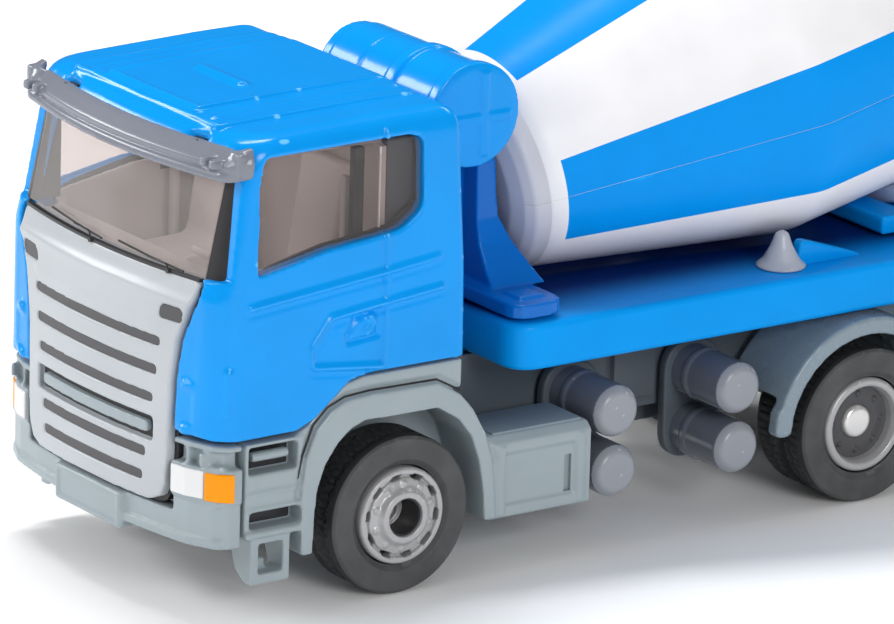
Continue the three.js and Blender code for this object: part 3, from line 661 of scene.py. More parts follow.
def add_cab_creases(shell):
    """Presses the door's lines, handle and seam and the small ribs into the cab's skin."""
    side = 14.35
    upper = [(side, -13.9, 24.15), (side, -2.3, 25.2), (side - 0.1, 2.6, 25.7)]
    middle = [(side, -4.6, 22.65), (side, 2.9, 23.35)]
    hook = [(side, y, z) for y, z in rounded(
        [(-4.6, 22.65), (-6.8, 22.4), (-8.6, 20.0), (-8.4, 18.8), (-2.3, 18.05)],
        [0, 0.8, 1.6, 0.5, 0], 6, closed=False)]
    ridges(shell, [upper, middle, hook], 0.27, 0.19, on_side)
    lowered = [[(x, y, z - 0.5) for x, y, z in line] for line in (upper, middle, hook)]
    ridges(shell, lowered, -0.1, 0.24, on_side)
    seam = [(side - 0.4, -2.2, 36.4), (side, -2.15, 27.9), (side, -2.1, 24.5), (side, -2.3, 18.0)]
    ridges(shell, [seam], -0.14, 0.1, on_side)
    ridges(shell, [[(x, y + 0.3, z) for x, y, z in seam]], 0.13, 0.11, on_side)
    handle = [(-5.15, 20.3), (-5.4, 20.8), (-4.6, 22.1), (-2.75, 22.5), (-2.55, 20.5), (-5.15, 20.3)]
    ridges(shell, [[(side, y, z) for y, z in handle]], -0.26, 0.14, on_side)
    ridges(shell, [[(side, -3.6, 20.9), (side, -3.1, 21.5), (side, -3.3, 22.0)]], 0.24, 0.24, on_side)
    ridges(shell, [[(14.1, -15.6, 16.3), (14.1, -15.5, 19.4)]], 0.26, 0.24)
    ridges(shell, [[(side - 0.3, 4.6, 15.0), (side - 0.3, 4.4, 25), (side - 0.6, 4.1, 35.0)]], 0.1, 0.16)
    wing = [(x, -17.95 + CAB_BOW * x * x + (x - 11.4) * 0.35, z) for x, z in rounded(
        [(10.9, 18.1), (12.0, 18.0), (11.9, 14.9), (10.8, 14.6)], [0, 0.6, 0.6, 0], 5, closed=False)]
    ridges(shell, [wing], 0.32, 0.24)
    ridges(shell, [[(7.8, -14.95, 35.9), (9.0, -14.75, 35.9)]], -0.5, 0.3)
    rims = [[(0, -14.0, 36.7), (9.6, -13.8, 36.7), (9.75, 3.0, 36.75)],
            [(7.95, -13.4, 36.9), (7.95, 3.0, 36.9)],
            [(0, -13.2, 37.1), (5.9, -13.1, 37.1), (6.1, 3.0, 37.1)]]
    ridges(shell, rims, 0.15, 0.14)


def cab_glass():
    """The side panes and the windscreen, which follow the cab's curve just below its skin."""
    def pane():
        return cut(cab_skin(0.35, 11), cab_skin(1.0, 10.5))
    centre = Vector((-6, 31.2))
    smaller = [tuple(Vector(p) + (centre - Vector(p)).normalized() * 0.12) for p in SIDE_WINDOW]
    sides = common(pane(), prism("x", rounded(smaller, SIDE_WINDOW_ROUNDING, 6), -20, 20))
    screen = common(pane(), prism("x", SCREEN_PANE, -PILLAR_FACE, PILLAR_FACE))
    return sides, screen


def front_slab(front, back, low, high, half=15.0):
    """A slab across the truck that bows as the cab's front does."""
    xs = np.linspace(-half, half, 48)
    outline = [(x, front + CAB_BOW * x * x) for x in xs]
    outline += [(x, back + CAB_BOW * x * x) for x in reversed(xs)]
    return prism("z", outline, low, high)


GRILLE_SLOTS = [(20.64, 8.3), (18.4, 8.0), (16.2, 7.6), (11.9, 6.9), (10.05, 6.6)]  # z, half width
RECESS = (12.9, 14.85)
GRILLE_BEND = 24.2


def slot_outlines():
    """The long slots of the grille and the two small ones in its top corners."""
    bars = [rounded_box(-half, half, z - 0.36, z + 0.36, 0.3) for z, half in GRILLE_SLOTS]
    corner = rounded([(8.1, 22.5), (10.5, 22.55), (10.7, 23.4), (10.4, 23.7), (8.6, 23.65),
                      (8.2, 23.3)], 0.3)
    return bars + [corner, [(-x, z) for x, z in reversed(corner)]]


def on_front(front, back, outline, high=27):
    """The part of a bowed slab that lies behind an outline in x and z."""
    return common(front_slab(front, back, 8, high), prism("y", outline, -22, -12))


def grille():
    """The silver panel, with its slots and its middle recess pressed in."""
    panel = on_front(-18.35, -17.35, grille_outline(0))
    tools = [on_front(-20, -18.0, outline) for outline in slot_outlines()]
    step = on_front(-20, -17.7, rounded_box(-7.7, 7.7, *RECESS, 0.3))
    cut(panel, *tools, step)
    soften(panel, 0.12, 4)
    bend_back(panel)
    ridges(panel, [[(0, -18.3, 24.3), (6, -18.0, 24.3), (12.0, -17.1, 24.1)]], 0.1, 0.3)
    ridges(panel, [[(0, -18.3, 21.9), (8, -17.8, 21.9)], [(0, -18.3, 14.95), (7.6, -17.8, 14.95)]],
           0.07, 0.3)
    return panel


def bend_back(obj):
    """Leans the panel's top edge back towards the windscreen."""
    for vertex in obj.data.vertices:
        vertex.co.y += 0.4 * max(0.0, vertex.co.z - GRILLE_BEND)
    obj.data.update()


def grille_fill():
    """The dark print on the slots' floors."""
    return join(*(on_front(-18.24, -17.5, outline) for outline in slot_outlines()))


def grille_gap():
    """The dark joint round the grille, partly a painted shadow under it, and a dark sheet on the floor of
    its middle recess: painted shade.
    """
    joint = on_front(-17.6, -17.0, grille_outline(0.42), 25.4)
    recess = on_front(-17.8, -17.4, rounded_box(-7.6, 7.6, 12.95, 14.8, 0.3))
    return join(joint, recess)


def grille_bar():
    """The bar across the middle recess."""
    return soften(on_front(-18.25, -17.5, rounded_box(-7.0, 7.0, 13.4, 14.25, 0.3)), 0.1, 3)


WRAP_STEPS = 9
VISOR_BOW = 0.0095
VISOR_HALF = 12.4  # where the ends start to wrap round


def visor():
    """The curved sun shield over the windscreen, in two long facets with wrapped ends."""
    section = rounded([(-17.35, 33.5), (-16.7, 33.5), (-15.6, 35.2), (-15.3, 35.75), (-15.9, 35.75),
                       (-16.95, 34.75)], [0.15, 0.1, 0.2, 0.1, 0.25, 0.12], 4)
    half_way = [(x, VISOR_BOW * x * x) for x in np.linspace(0, VISOR_HALF, 26)]
    reach = VISOR_BOW * VISOR_HALF ** 2
    for k in range(1, WRAP_STEPS + 1):
        angle = math.radians(80 * k / WRAP_STEPS)
        half_way.append((VISOR_HALF + 2.0 * math.sin(angle), reach + 2.5 * (1 - math.cos(angle))))
    stations = [(-x, y) for x, y in reversed(half_way[1:])] + half_way
    vertices = []
    crease = []
    for i, (x, y) in enumerate(stations):
        a, b = stations[max(i - 1, 0)], stations[min(i + 1, len(stations) - 1)]
        along = Vector((b[0] - a[0], b[1] - a[1])).normalized()
        inward = Vector((-along.y, along.x))
        wrap = max(0.0, abs(x) - VISOR_HALF) / 2.0
        for depth, z in section:
            move = depth + 17.35 - 1.25 * wrap * (z - 33.5) / 2.25
            lift = 0.4 * max(0.0, (y - reach) / 2.0)
            vertices.append((x + inward.x * move, y - 17.35 + inward.y * move, z + lift))
        if x >= 0:
            crease.append((x + inward.x * 0.28, y - 17.35 + inward.y * 0.28, 34.35))
    count = len(section)
    faces = []
    for i in range(len(stations) - 1):
        for k in range(count):
            a, b = i * count + k, i * count + (k + 1) % count
            faces.append((a, b, b + count, a + count))
    faces += [tuple(range(count)), tuple(range((len(stations) - 1) * count, len(stations) * count))]
    lamps = [both((x, x + 0.7), (-16.4, -15.2), (34.5, 35.2)) for x in (10.9, 12.1)]
    ends = both((13.5, 14.3), (-15.1, -14.25), (34.1, 35.85))
    whole = soften(join(raw(vertices, faces), ends, *lamps), 0.12, 11)
    ridges(whole, [crease], -0.17, 0.13)
    return whole


def wipers():
    """Two thin blades with their arms, lying along the foot of the windscreen."""
    def at(x, z, out=0.1):
        return (x, -17.68 + CAB_BOW * x * x + (z - 26) * 0.22 - out, z)
    base = front_slab(-17.7, -17.3, 25.85, 26.08, half=11.6)
    bars = []
    for x0, z0, x1, z1, pivot in ((-7.2, 26.85, 0.3, 26.45, -1.1), (2.4, 26.8, 10.0, 26.3, 8.4)):
        middle = ((x0 + x1) / 2, (z0 + z1) / 2)
        bars.append(wire([at(x0, z0), at(*middle), at(x1, z1)], 0.085))
        bars.append(wire([at(pivot, 26.05, 0.0), at(pivot - 0.3, z1 + 0.2, 0.2), at(*middle, 0.2)], 0.07))
        bars.append(wire([at(pivot, 26.0, -0.1), at(pivot, 26.0, 0.2)], 0.2))
    return join(base, *bars)


def cabin_trim():
    """The dark pillars and window seals seen through the glazing."""
    front = common(cab_skin(0.45, 20), both((PILLAR_FACE + 0.05, 15), (-18, -13.5), (26.0, 34.7)))
    middle = both((12.5, 13.15), (-4.2, -3.3), (26.5, 34.6))
    rail = prism("x", [(-13.3, 25.9), (-0.6, 27.8), (1.2, 29.4), (1.2, 29.9), (-0.8, 28.45), (-3.0, 28.12),
                       (-6.9, 27.75), (-9.5, 27.2), (-11.5, 26.75)], 12.9, 13.2)
    return join(front, bevelled(join(middle, mirrored(rail), rail), 0.06))


def window_seam_highlights():
    """Two slim light strips behind the side glass, where the door ends: a painted highlight of the door
    seam.
    """
    return bevelled(both((12.95, 13.15), (-1.95, -1.8), (26.6, 34.4)), 0.04)


def cabin_liner():
    """The inside of the cab: back wall, headlining and door cards in one tint."""
    partition = block((-12.6, 12.6), (-1.4, -0.9), (19.0, 34.2))
    door = prism("x", [(-13.4, 19), (-0.9, 19), (-0.9, 28.0), (-6.9, 27.4), (-13.4, 26.2)], 12.5, 12.9)
    roof = block((-11.9, 11.9), (-13.2, -0.9), (34.3, 34.8))
    shelf = block((-12.3, 12.3), (-16.4, -12.9), (24.6, 25.3))
    return soften(join(partition, mirrored(door), door, roof, shelf), 0.2, 3)


def rear_cabin_shade():
    """A dark block behind the seats, seen through the back of each side window: painted shade."""
    return bevelled(block((-12.4, 12.4), (-0.8, 3.4), (24.0, 34.6)), 0.2)


def seat(x):
    """A seat with its back, rounded all over."""
    side = rounded([(-8.4, 19), (-2.6, 19), (-1.0, 31.2), (-1.5, 32.2), (-2.5, 32.2), (-3.9, 22.6),
                    (-8.2, 22.4), (-8.8, 21.6)], 0.6)
    body = prism("x", side, x - 2.8, x + 2.8)
    return soften(body, 0.2, 8)


def steering_wheel():
    rim = [(2.3 + 0.3 * math.cos(math.radians(a)), 0.3 * math.sin(math.radians(a)))
           for a in range(0, 360, 30)]
    ring = lathe(rim + [rim[0]], 64)
    spokes = block((-2.2, 2.2), (-0.15, 0.15), (-0.3, 0.3))
    hub = lathe(rounded([(0, -0.9), (0.6, -0.9), (0.6, 0.3), (0, 0.3)], [0, 0.2, 0.2, 0], closed=False), 32)
    wheel = soften(join(ring, spokes, hub), 0.1, 3)
    return moved(wheel, Matrix.Translation((6.6, -11.1, 25.4)) @ Matrix.Rotation(math.radians(65), 4, "X"))


def build_cab():
    finish_piece(cab_body(), "cab_body", PAINT_BLUE, "cab_paint", "cab_shell", sharp=None)
    side_panes, screen = cab_glass()
    finish_piece(side_panes, "side_windows", SIDE_GLASS, "window_tint", "cab_glazing")
    finish_piece(screen, "windscreen", SCREEN_GLASS, "window_tint")
    finish_piece(grille(), "grille", GRILLE_SILVER, "grille_paint", "grille_panel", sharp=None)
    finish_piece(grille_fill(), "grille_fill", SLOT_DARK, "cabin_plastic")
    finish_piece(grille_gap(), "grille_gap", CABIN_DARK, "cabin_plastic")
    finish_piece(grille_bar(), "grille_bar", CHASSIS_GREY, "grille_paint", sharp=None)
    finish_piece(visor(), "visor", VISOR_GREY, "visor_plastic", "sun_visor", sharp=None)
    finish_piece(wipers(), "wipers", CABIN_DARK, "cabin_plastic")
    finish_piece(cabin_trim(), "cabin_trim", CABIN_DARK, "cabin_plastic")
    finish_piece(roof_notch_shade(), "roof_notch_shade", CABIN_DARK, "cabin_plastic")
    finish_piece(window_seam_highlights(), "window_seam_highlights", LAMP_AND_HIGHLIGHT_WHITE, "cabin_plastic")
    finish_piece(cabin_liner(), "cabin_liner", CABIN_PALE, "cabin_plastic")
    finish_piece(rear_cabin_shade(), "cabin_rear", CHASSIS_SHADE, "cabin_plastic")
    floor = soften(copy_node("cab_interior"), 0.2, 3)
    finish_piece(floor, "cabin_floor", CABIN_PALE, "cabin_plastic", "cab_interior")
    for side, x in (("left", 6.6), ("right", -6.6)):
        finish_piece(seat(x), f"seat_cushion_{side}", CABIN_PALE, "cabin_plastic", f"seat_{side}")
    finish_piece(steering_wheel(), "steering_rim", CABIN_PALE, "cabin_plastic", "steering_wheel")


# ------------------------------------------------------------------ chassis
def bumper_outline(grow):
    """The bumper's plan, from one side round the front to the other."""
    xs = np.linspace(-11.4, 11.4, 40)
    middle = [(x, -18.05 - grow + CAB_BOW * x * x) for x in xs]
    left = rounded([(14.2 + grow, -14.2), (14.2 + grow, -15.3), (13.4 + grow, -16.2), middle[-1]],
                   [0, 0.9, 1.2, 0], 5, closed=False)[:-1]
    return [(-x, y) for x, y in left] + middle + left[::-1]


def bumper_band(grow, depth, low, high, x_range, back=-14.3):
    """A band that follows the bumper's face."""
    outer = bumper_outline(grow)
    inner = bumper_outline(grow - depth)
    ring = prism("z", outer + inner[::-1], low, high)
    return common(ring, block(x_range, (-22, back), (low - 1, high + 1)))


def front_bumper():
    """The bumper with its lower lip, the fins by the step and the towing panel's rim."""
    body = copy_node("front_bumper")
    lip = bumper_band(0.25, 0.8, 5.9, 6.6, (-14, 14))
    fins = [both((x, x + 0.3), (-17.0, -15.6), (12.2, 13.2)) for x in (10.9, 12.6)]
    bosses = [both((12.9, 13.9), (-16.2, -15.3), (z, z + 0.35)) for z in (9.1, 11.9)]
    whole = soften(join(body, lip, *fins, *bosses), 0.13, 4)
    ridges(whole, [[(0, -18.3, 5.55), (4.1, -18.3, 5.55), (4.1, -18.3, 7.8), (0, -18.3, 7.8)]], 0.14, 0.16,
           lambda folded, normals: normals[:, 1] < -0.5)
    return whole


def lamps():
    """The white headlamp and the orange indicator beside it."""
    white = bumper_band(0.42, 0.6, 9.65, 11.8, (9.9, 12.72))
    orange = bumper_band(0.42, 0.6, 9.6, 11.75, (12.82, 15.5), -15.05)
    return soften(white, 0.1, 4), soften(orange, 0.1, 4)


def side_fairing():
    """The step, the front wheel arch and the locker behind it, as one moulding."""
    body = copy_node("side_fairing_left")
    ribs = [block((14.0, 14.3), (-13.7, -9.1), (z, z + 0.25)) for z in (8.5, 9.7)]
    bar = prism("y", rounded_box(13.0, 13.8, 12.1, 12.8, 0.3), -13.0, -9.8)
    step_lip = block((13.6, 14.5), (-13.9, -9.0), (6.5, 6.95))
    tongue = block((12.3, 13.0), (-11.9, -11.2), (2.95, 4.4))
    frame_bars = [block((14.0, 14.35), span, (4.5, 9.9)) for span in ((8.9, 9.4), (16.1, 16.7))]
    whole = soften(join(body, *ribs, bar, step_lip, tongue, *frame_bars), 0.13, 4)
    cut(whole, block((13.7, 14.6), (15.0, 15.65), (5.4, 8.3)))
    seam = [(14.15, y, z) for y, z in ((-9.3, 8.9), (-8.9, 11.9), (-8.0, 14.2), (-6.7, 15.5), (-5.2, 16.2),
                                       (-3.0, 16.35), (3.2, 16.25), (5.2, 15.1), (6.5, 13.7), (7.8, 11.4),
                                       (8.45, 9.0))]
    ridges(whole, [seam], -0.2, 0.15, lambda folded, normals: normals[:, 0] > 0.5)
    return whole


TANK_LEVELS = (10.75, 6.05)


def air_tanks(y):
    """Two stacked air tanks with flat rimmed ends, the ends painted lighter than the bodies: painted light
    and shade.
    """
    outline = [(0, 7.4), (2.02, 7.4), (2.02, 13.35), (1.75, 13.75), (1.5, 13.95), (0.0, 13.98)]
    tanks = [turned(rounded(outline, [0, 0.2, 0.35, 0.2, 0.12, 0], 6, closed=False), y, z, 80)
             for z in TANK_LEVELS]
    straps = [turned([(2.0, 9.0), (2.12, 9.05), (2.12, 9.55), (2.0, 9.6), (1.8, 9.3), (2.0, 9.0)], y, z, 80)
              for z in TANK_LEVELS]
    whole = soften(join(*tanks, *straps), 0.11, 3)
    for face in whole.data.polygons:
        # Painted light: outward ends get the lit colour, the rest the shaded one.
        face.material_index = int(face.center.x > 13.2 and face.normal.x > 0.3)
    return whole


def tank_bracket(y):
    """The plate that carries a pair of air tanks."""
    plate = prism("x", rounded_box(y - 2.6, y + 2.6, 3.8, 13.1, 2.4, 10), 6.8, 7.7)
    return bevelled(plate, 0.2)


def arch_joint():
    """The dark joint between the arch and the sill, and dark sheets on the floors of the step's recesses:
    painted shade.
    """
    line = [(14.06, y, z) for y, z in ((-9.2, 10.4), (-8.85, 12.0), (-7.95, 14.25), (-6.7, 15.45),
                                       (-5.2, 16.05), (-3.0, 16.2), (3.0, 16.1), (5.15, 14.95))]
    floors = [block((12.5, 12.82), (-13.5, -9.4), (11.4, 13.3)),
              block((12.5, 12.82), (-13.3, -9.1), (7.2, 8.3))]
    return join(wire(line, 0.08, 8), *floors)


def locker_top_shade():
    """A dark sheet on the top of the locker behind the front wheel: painted shade."""
    return bevelled(block((8.9, 13.4), (8.75, 16.9), (10.5, 10.78)), 0.12)


def rear_fender():
    """The rear mudguard, with the foot at its front end."""
    body = copy_node("rear_fender_left")
    foot = prism("x", rounded([(34.6, 6.4), (36.2, 6.4), (36.4, 8.6), (34.9, 8.8)], 0.6), 13.2, 14.4)
    return soften(join(body, foot), 0.14, 6)


def build_chassis():
    finish_piece(bevelled(copy_node("chassis_frame"), 0.15), "chassis", CHASSIS_SHADE, "chassis_plastic",
                 "chassis_frame")
    finish_piece(bevelled(copy_node("base_plate"), 0.2), "base_pad", CHASSIS_SHADE, "chassis_plastic",
                 "base_plate")
    for i in (1, 2):
        finish_piece(bevelled(copy_node(f"rivet_{i}"), 0.25, 4), f"rivet_head_{i}", AXLE_STEEL, "steel",
                     f"rivet_{i}")
    finish_piece(front_bumper(), "bumper", CHASSIS_GREY, "chassis_plastic", "front_bumper", sharp=None)
    white, orange = lamps()
    finish_pair(white, "headlamp", LAMP_AND_HIGHLIGHT_WHITE, "chassis_plastic", sharp=None)
    finish_pair(orange, "indicator", LAMP_ORANGE, "chassis_plastic", sharp=None)
    finish_pair(side_fairing(), "fairing", CHASSIS_GREY, "chassis_plastic", "side_fairing", sharp=40)
    finish_pair(arch_joint(), "arch_joint", CABIN_DARK, "chassis_plastic")
    finish_pair(locker_top_shade(), "locker_top_shade", LID_SHADE, "chassis_plastic")
    finish_pair(rear_fender(), "mudguard", FENDER_GREY, "chassis_plastic", "rear_fender", sharp=None)
    for place, y in (("front", 20.05), ("rear", 31.5)):
        finish_pair(air_tanks(y), f"tanks_{place}", (TANK_SHADED, TANK_END_LIT), "air_tank_plastic",
                    f"air_tanks_{place}", sharp=None)
        finish_pair(tank_bracket(y), f"tank_bracket_{place}", CHASSIS_SHADE, "chassis_plastic")
    bar = soften(copy_node("rear_bumper"), 0.14, 3)
    finish_piece(bar, "tail_bar", CHASSIS_GREY, "chassis_plastic", "rear_bumper", sharp=None)
    lamp = bevelled(block((8.6, 12.4), (72.3, 72.8), (6.6, 8.6)), 0.2)
    finish_pair(lamp, "tail_lamp", LAMP_RED, "chassis_plastic")


# ------------------------------------------------------------------ superstructure
def drum_tool(clearance):
    """The room that the turning drum and its hoop need, as shapes to cut away."""
    profile = [(0, -3.5 - clearance), (8 + clearance, -2.5 - clearance), (8 + clearance, -2.5),
               (BELLY + clearance, BELLY_START), (BELLY + clearance, BELLY_END),
               (13.6 + clearance, SHOULDER_END), (NECK + clearance, NECK_START),
               (NECK + clearance, 60), (0, 60)]
    hoop = [(0, 30.9), (15.7 + clearance, 30.9), (15.7 + clearance, 33.4), (0, 33.4)]
    return [moved(lathe(outline, 120), DRUM_MATRIX) for outline in (profile, hoop)]


def deck():
    """The deck's slab, hollowed where the drum's belly turns."""
    slab = prism("z", rounded_box(-13.5, 13.5, 10.7, 70, 2.6, 10), 15.05, 18.7)
    bevelled(slab, 0.5, 5, 40)
    cut(slab, *drum_tool(0.85))
    return slab


def deck_fins():
    """The low fins behind the drum's belly, one on each side of the deck."""
    fin = prism("x", rounded([(38.6, 18.3), (39.0, 20.6), (39.8, 20.5), (46.4, 18.3)], 0.5), 9.9, 10.9)
    return soften(join(fin, mirrored(fin)), 0.12, 4)


def fin_noses():
    """The pale pointed caps at the front of the deck fins."""
    profile = rounded([(0, 21.65), (0.5, 21.4), (0.85, 20.4), (1.45, 19.3), (2.1, 18.75), (0, 18.5)],
                      [0, 0.3, 0.6, 0.8, 0.1, 0], 5, closed=False)
    cone = moved(lathe(profile, 48), Matrix.Rotation(math.radians(90), 4, "X"))
    return soften(moved(cone, Matrix.Translation((10.4, 37.5, 0))), 0.13, 5)


def tower():
    """The drum's front tower with its ribs, foot pads and gussets."""
    body = copy_node("drum_tower")
    ribs = both((3.2, 3.9), (11.8, 12.6), (19.5, 29.3))
    pads = both((9.6, 11.6), (12.2, 14.4), (19.8, 20.35))
    gussets = [prism("x", [(14.6, 20.0), (15.5, 20.0), (14.6, 22.0)], x, x + 0.7) for x in (-6.6, 5.9)]
    return soften(join(body, ribs, pads, *gussets), 0.14, 4)


def tank():
    """The water tank: a smooth barrel with two raised bands and a ribbed near end."""
    rings = []
    for x0, x1, radius in ((-6.6, -5.6, 3.6), (-5.4, -1.75, 3.76), (-1.6, -1.5, 3.66), (-1.35, 1.95, 3.78),
                           (2.1, 3.2, 4.0), (3.35, 7.75, 3.78), (7.9, 8.9, 4.0)):
        rings += [(radius, x0), (radius, x1)]
    body = turned([(0, -6.6), *rings, (3.4, 9.0), (0, 9.03)], 9.5, 34.15, 120)
    cross = [block((8.8, 9.14), (9.95, 10.6), (31.0, 37.4)),
             block((8.8, 9.14), (6.4, 12.6), (33.55, 34.15))]
    return soften(join(body, *cross), 0.12, 4)


def build_superstructure():
    finish_piece(deck(), "deck", DECK_TOP, "deck_plastic", "mixer_deck")
    finish_piece(deck_fins(), "deck_fins", DECK_BLUE, "deck_plastic", sharp=None)
    finish_pair(fin_noses(), "fin_nose", NOSE_GREY, "deck_plastic", sharp=None)
    finish_piece(tower(), "tower", TOWER_SHADED_BLUE, "deck_plastic", "drum_tower", sharp=None)
    finish_piece(tank(), "tank", PAINT_BLUE, "deck_plastic", "water_tank", sharp=None)
    finish_piece(soften(copy_node("drum_cradle"), 0.17, 3), "cradle", DECK_BLUE, "deck_plastic",
                 "drum_cradle", sharp=None)
    finish_piece(soften(copy_node("loading_hopper"), 0.13, 3), "hopper", CHASSIS_GREY, "chassis_plastic",
                 "loading_hopper", sharp=None)
    rails = [wire([(9.4, y, 19.0), (9.4, y, 42.2)], 0.38, 16) for y in (62.8, 68.0)]
    rungs = [wire([(9.4, 62.8, z), (9.4, 68.0, z)], 0.3, 16) for z in (22, 26, 30, 34, 38)]
    finish_piece(soften(join(*rails, *rungs), 0.11, 2), "ladder", CHASSIS_GREY, "chassis_plastic",
                 "access_ladder", sharp=None)


# ------------------------------------------------------------------ drum
STRIPES = ((-34, 13.5), (60, 105), (150, 196), (242, 288))  # degrees round the drum, from +x
SEAM_GAP = 0.06  # degrees
SEAM_EDGE = 0.3  # degrees
STRIPE_START, STRIPE_END = 0.0, 49.6  # along the drum's axis
HEAD_END = -1.25


def drum_half(upper):
    """Half of the drum: a thin shell whose printed stripes follow its generators."""
    start = DRUM_SEAM if upper else DRUM_SEAM + 180
    stop = start + 180
    marks = {start + SEAM_GAP, start + SEAM_EDGE, stop - SEAM_GAP, stop - SEAM_EDGE}
    marks |= {a + turn for pair in STRIPES for a in pair for turn in (-360, 0, 360)}
    marks |= set(np.arange(math.ceil(start / 2) * 2, stop, 2.0))
    angles = sorted(a for a in marks if start + SEAM_GAP <= a <= stop - SEAM_GAP)
    outside = rounded(
        [(1.25, -3.5), (6.0, -3.48), (7.3, -3.05), (8.02, -2.5), (8.34, -1.36), (8.28, -1.26),
         (8.41, -1.16), (BELLY, BELLY_START), (BELLY, BELLY_END), (13.6, SHOULDER_END),
         (NECK, NECK_START), (NECK, 56.2), (6.9, 56.4), (6.9, 57.0)],
        [0, 1.5, 0.9, 0.7, 0, 0, 0, 6, 1, 1.2, 2, 0.2, 0.1, 0.1], 8, closed=False)
    outside = along_steps(outside, (STRIPE_START, STRIPE_END))
    inside = [(5.3, 57.0), (5.3, 50.4), (12.6, 33.0), (13.0, 31.0), (13.0, 21.0), (7.0, -1.8), (1.25, -2.3)]
    profile = outside + inside
    count, sweep = len(profile), len(angles)
    vertices = []
    for k, angle in enumerate(angles):
        pinch = 0.04 if k in (0, sweep - 1) else 0.0
        c, s = math.cos(math.radians(angle)), math.sin(math.radians(angle))
        for i, (radius, along) in enumerate(profile):
            r = radius - (pinch if 0 < i < len(outside) else 0)
            vertices.append((r * c, along, r * s))
    faces, stripes = [], []
    for k in range(sweep - 1):
        middle = (angles[k] + angles[k + 1]) / 2
        blue = any(a <= middle + turn <= b for a, b in STRIPES for turn in (-360, 0, 360))
        for i in range(count):
            j = (i + 1) % count
            faces.append((k * count + i, k * count + j, (k + 1) * count + j, (k + 1) * count + i))
            span = (profile[i][1] + profile[j][1]) / 2
            outer = i < len(outside) - 1
            printed = blue and outer and STRIPE_START < span < STRIPE_END
            # Index 2 is painted shade on the head; 1 is the printed stripes.
            stripes.append(2 if outer and span < HEAD_END else int(printed))
    faces += [tuple(range(count)), tuple(range((sweep - 1) * count, sweep * count))]
    stripes += [0, 0]
    half = raw(vertices, faces)
    for polygon, stripe in zip(half.data.polygons, stripes):
        polygon.material_index = stripe
    return moved(half, DRUM_MATRIX)


def along_steps(profile, stations, step=1.0):
    """The profile with extra points: one at each station, and no long gaps between points."""
    result = [profile[0]]
    for (r0, a0), (r1, a1) in zip(profile, profile[1:]):
        cuts = {0.0, 1.0}
        if abs(a1 - a0) > 1e-6:
            cuts |= {(s - a0) / (a1 - a0) for s in stations if 0 < (s - a0) / (a1 - a0) < 1}
        pieces = max(1, int(abs(a1 - a0) / step))
        cuts |= {k / pieces for k in range(pieces + 1)}
        result += [(r0 + (r1 - r0) * t, a0 + (a1 - a0) * t) for t in sorted(cuts) if t > 1e-6]
    return result


def build_drum():
    for side in ("upper", "lower"):
        finish_piece(drum_half(side == "upper"), f"drum_{side}", (DRUM_WHITE, DRUM_BLUE, DRUM_HEAD_SHADE),
                     "drum_plastic", f"drum_shell_{side}", body="drum", sharp=50)
    hoop = rounded([(14.15, 31.2), (15.6, 31.4), (15.6, 32.8), (14.15, 33.0)], 0.35, 6)
    ring = moved(lathe(hoop + [hoop[0]], 180), DRUM_MATRIX)
    finish_piece(ring, "drum_hoop", DRUM_WHITE, "drum_plastic", "drum_ring", body="drum")
    finish_piece(bevelled(copy_node("drum_pin"), 0.1), "drum_bearing_pin", AXLE_STEEL, "steel", "drum_pin")


def build_chute():
    finish_piece(bevelled(copy_node("chute_pin"), 0.1), "chute_pivot_pin", AXLE_STEEL, "steel", "chute_pin")
    finish_piece(soften(copy_node("chute_bracket"), 0.1, 3), "chute_swivel", CHASSIS_GREY,
                 "chassis_plastic", "chute_bracket", body="chute", sharp=None)
    finish_piece(soften(copy_node("chute_trough"), 0.12, 3), "chute_channel", CHASSIS_GREY,
                 "chassis_plastic", "chute_trough", body="chute", sharp=None)


# ------------------------------------------------------------------ wheels
def tyre_profile(inner, outer, twin):
    """Half of the tyre's section as (radius, along); a twin tyre has a groove round its middle."""
    points = [(3.85, inner + 0.25), (4.3, inner), (5.5, inner), (6.02, inner + 0.45), (6.1, inner + 0.7)]
    radii = [0.1, 0.2, 0.4, 0.3, 0.1]
    if twin:
        middle = (inner + outer) / 2
        points += [(6.08, middle - 0.62), (5.25, middle - 0.28), (5.25, middle + 0.28),
                   (6.08, middle + 0.62)]
        radii += [0.25, 0.2, 0.2, 0.25]
    points += [(6.1, outer - 0.5), (6.04, outer - 0.2), (5.85, outer), (4.3, outer),
               (3.95, outer - 0.3), (3.85, outer - 0.35)]
    radii += [0.1, 0.15, 0.15, 0.35, 0.1, 0]
    return rounded(points, radii, 5)


def tyre(inner, outer, twin):
    """A rubber tyre: smooth side wall with a fine line near the rim, and a dark cut tread."""
    profile = tyre_profile(inner, outer, twin)
    dense = along_steps(profile + [profile[0]], (), 0.2)
    body = lathe(dense, 320)
    for vertex in body.data.vertices:
        radius = math.hypot(vertex.co.x, vertex.co.z)
        along = vertex.co.y
        if radius > 5.9:
            vertex.co = tread(vertex.co, radius, along, inner, outer)
        elif along > outer - 0.2:
            vertex.co.y -= 0.04 * math.exp(-((radius - 5.2) / 0.08) ** 2)
            vertex.co.y += 0.05 * math.exp(-((radius - 4.35) / 0.1) ** 2)
    for face in body.data.polygons:
        inside = inner + 0.3 < face.center.y < outer - 0.3
        face.material_index = int(inside and math.hypot(face.center.x, face.center.z) > 5.1)
    return moved(body, Matrix.Translation((0, 0, WHEEL_Z)) @ ALONG_X)


TREAD_WAVES = 30
TYRE_OUTER = 14.3


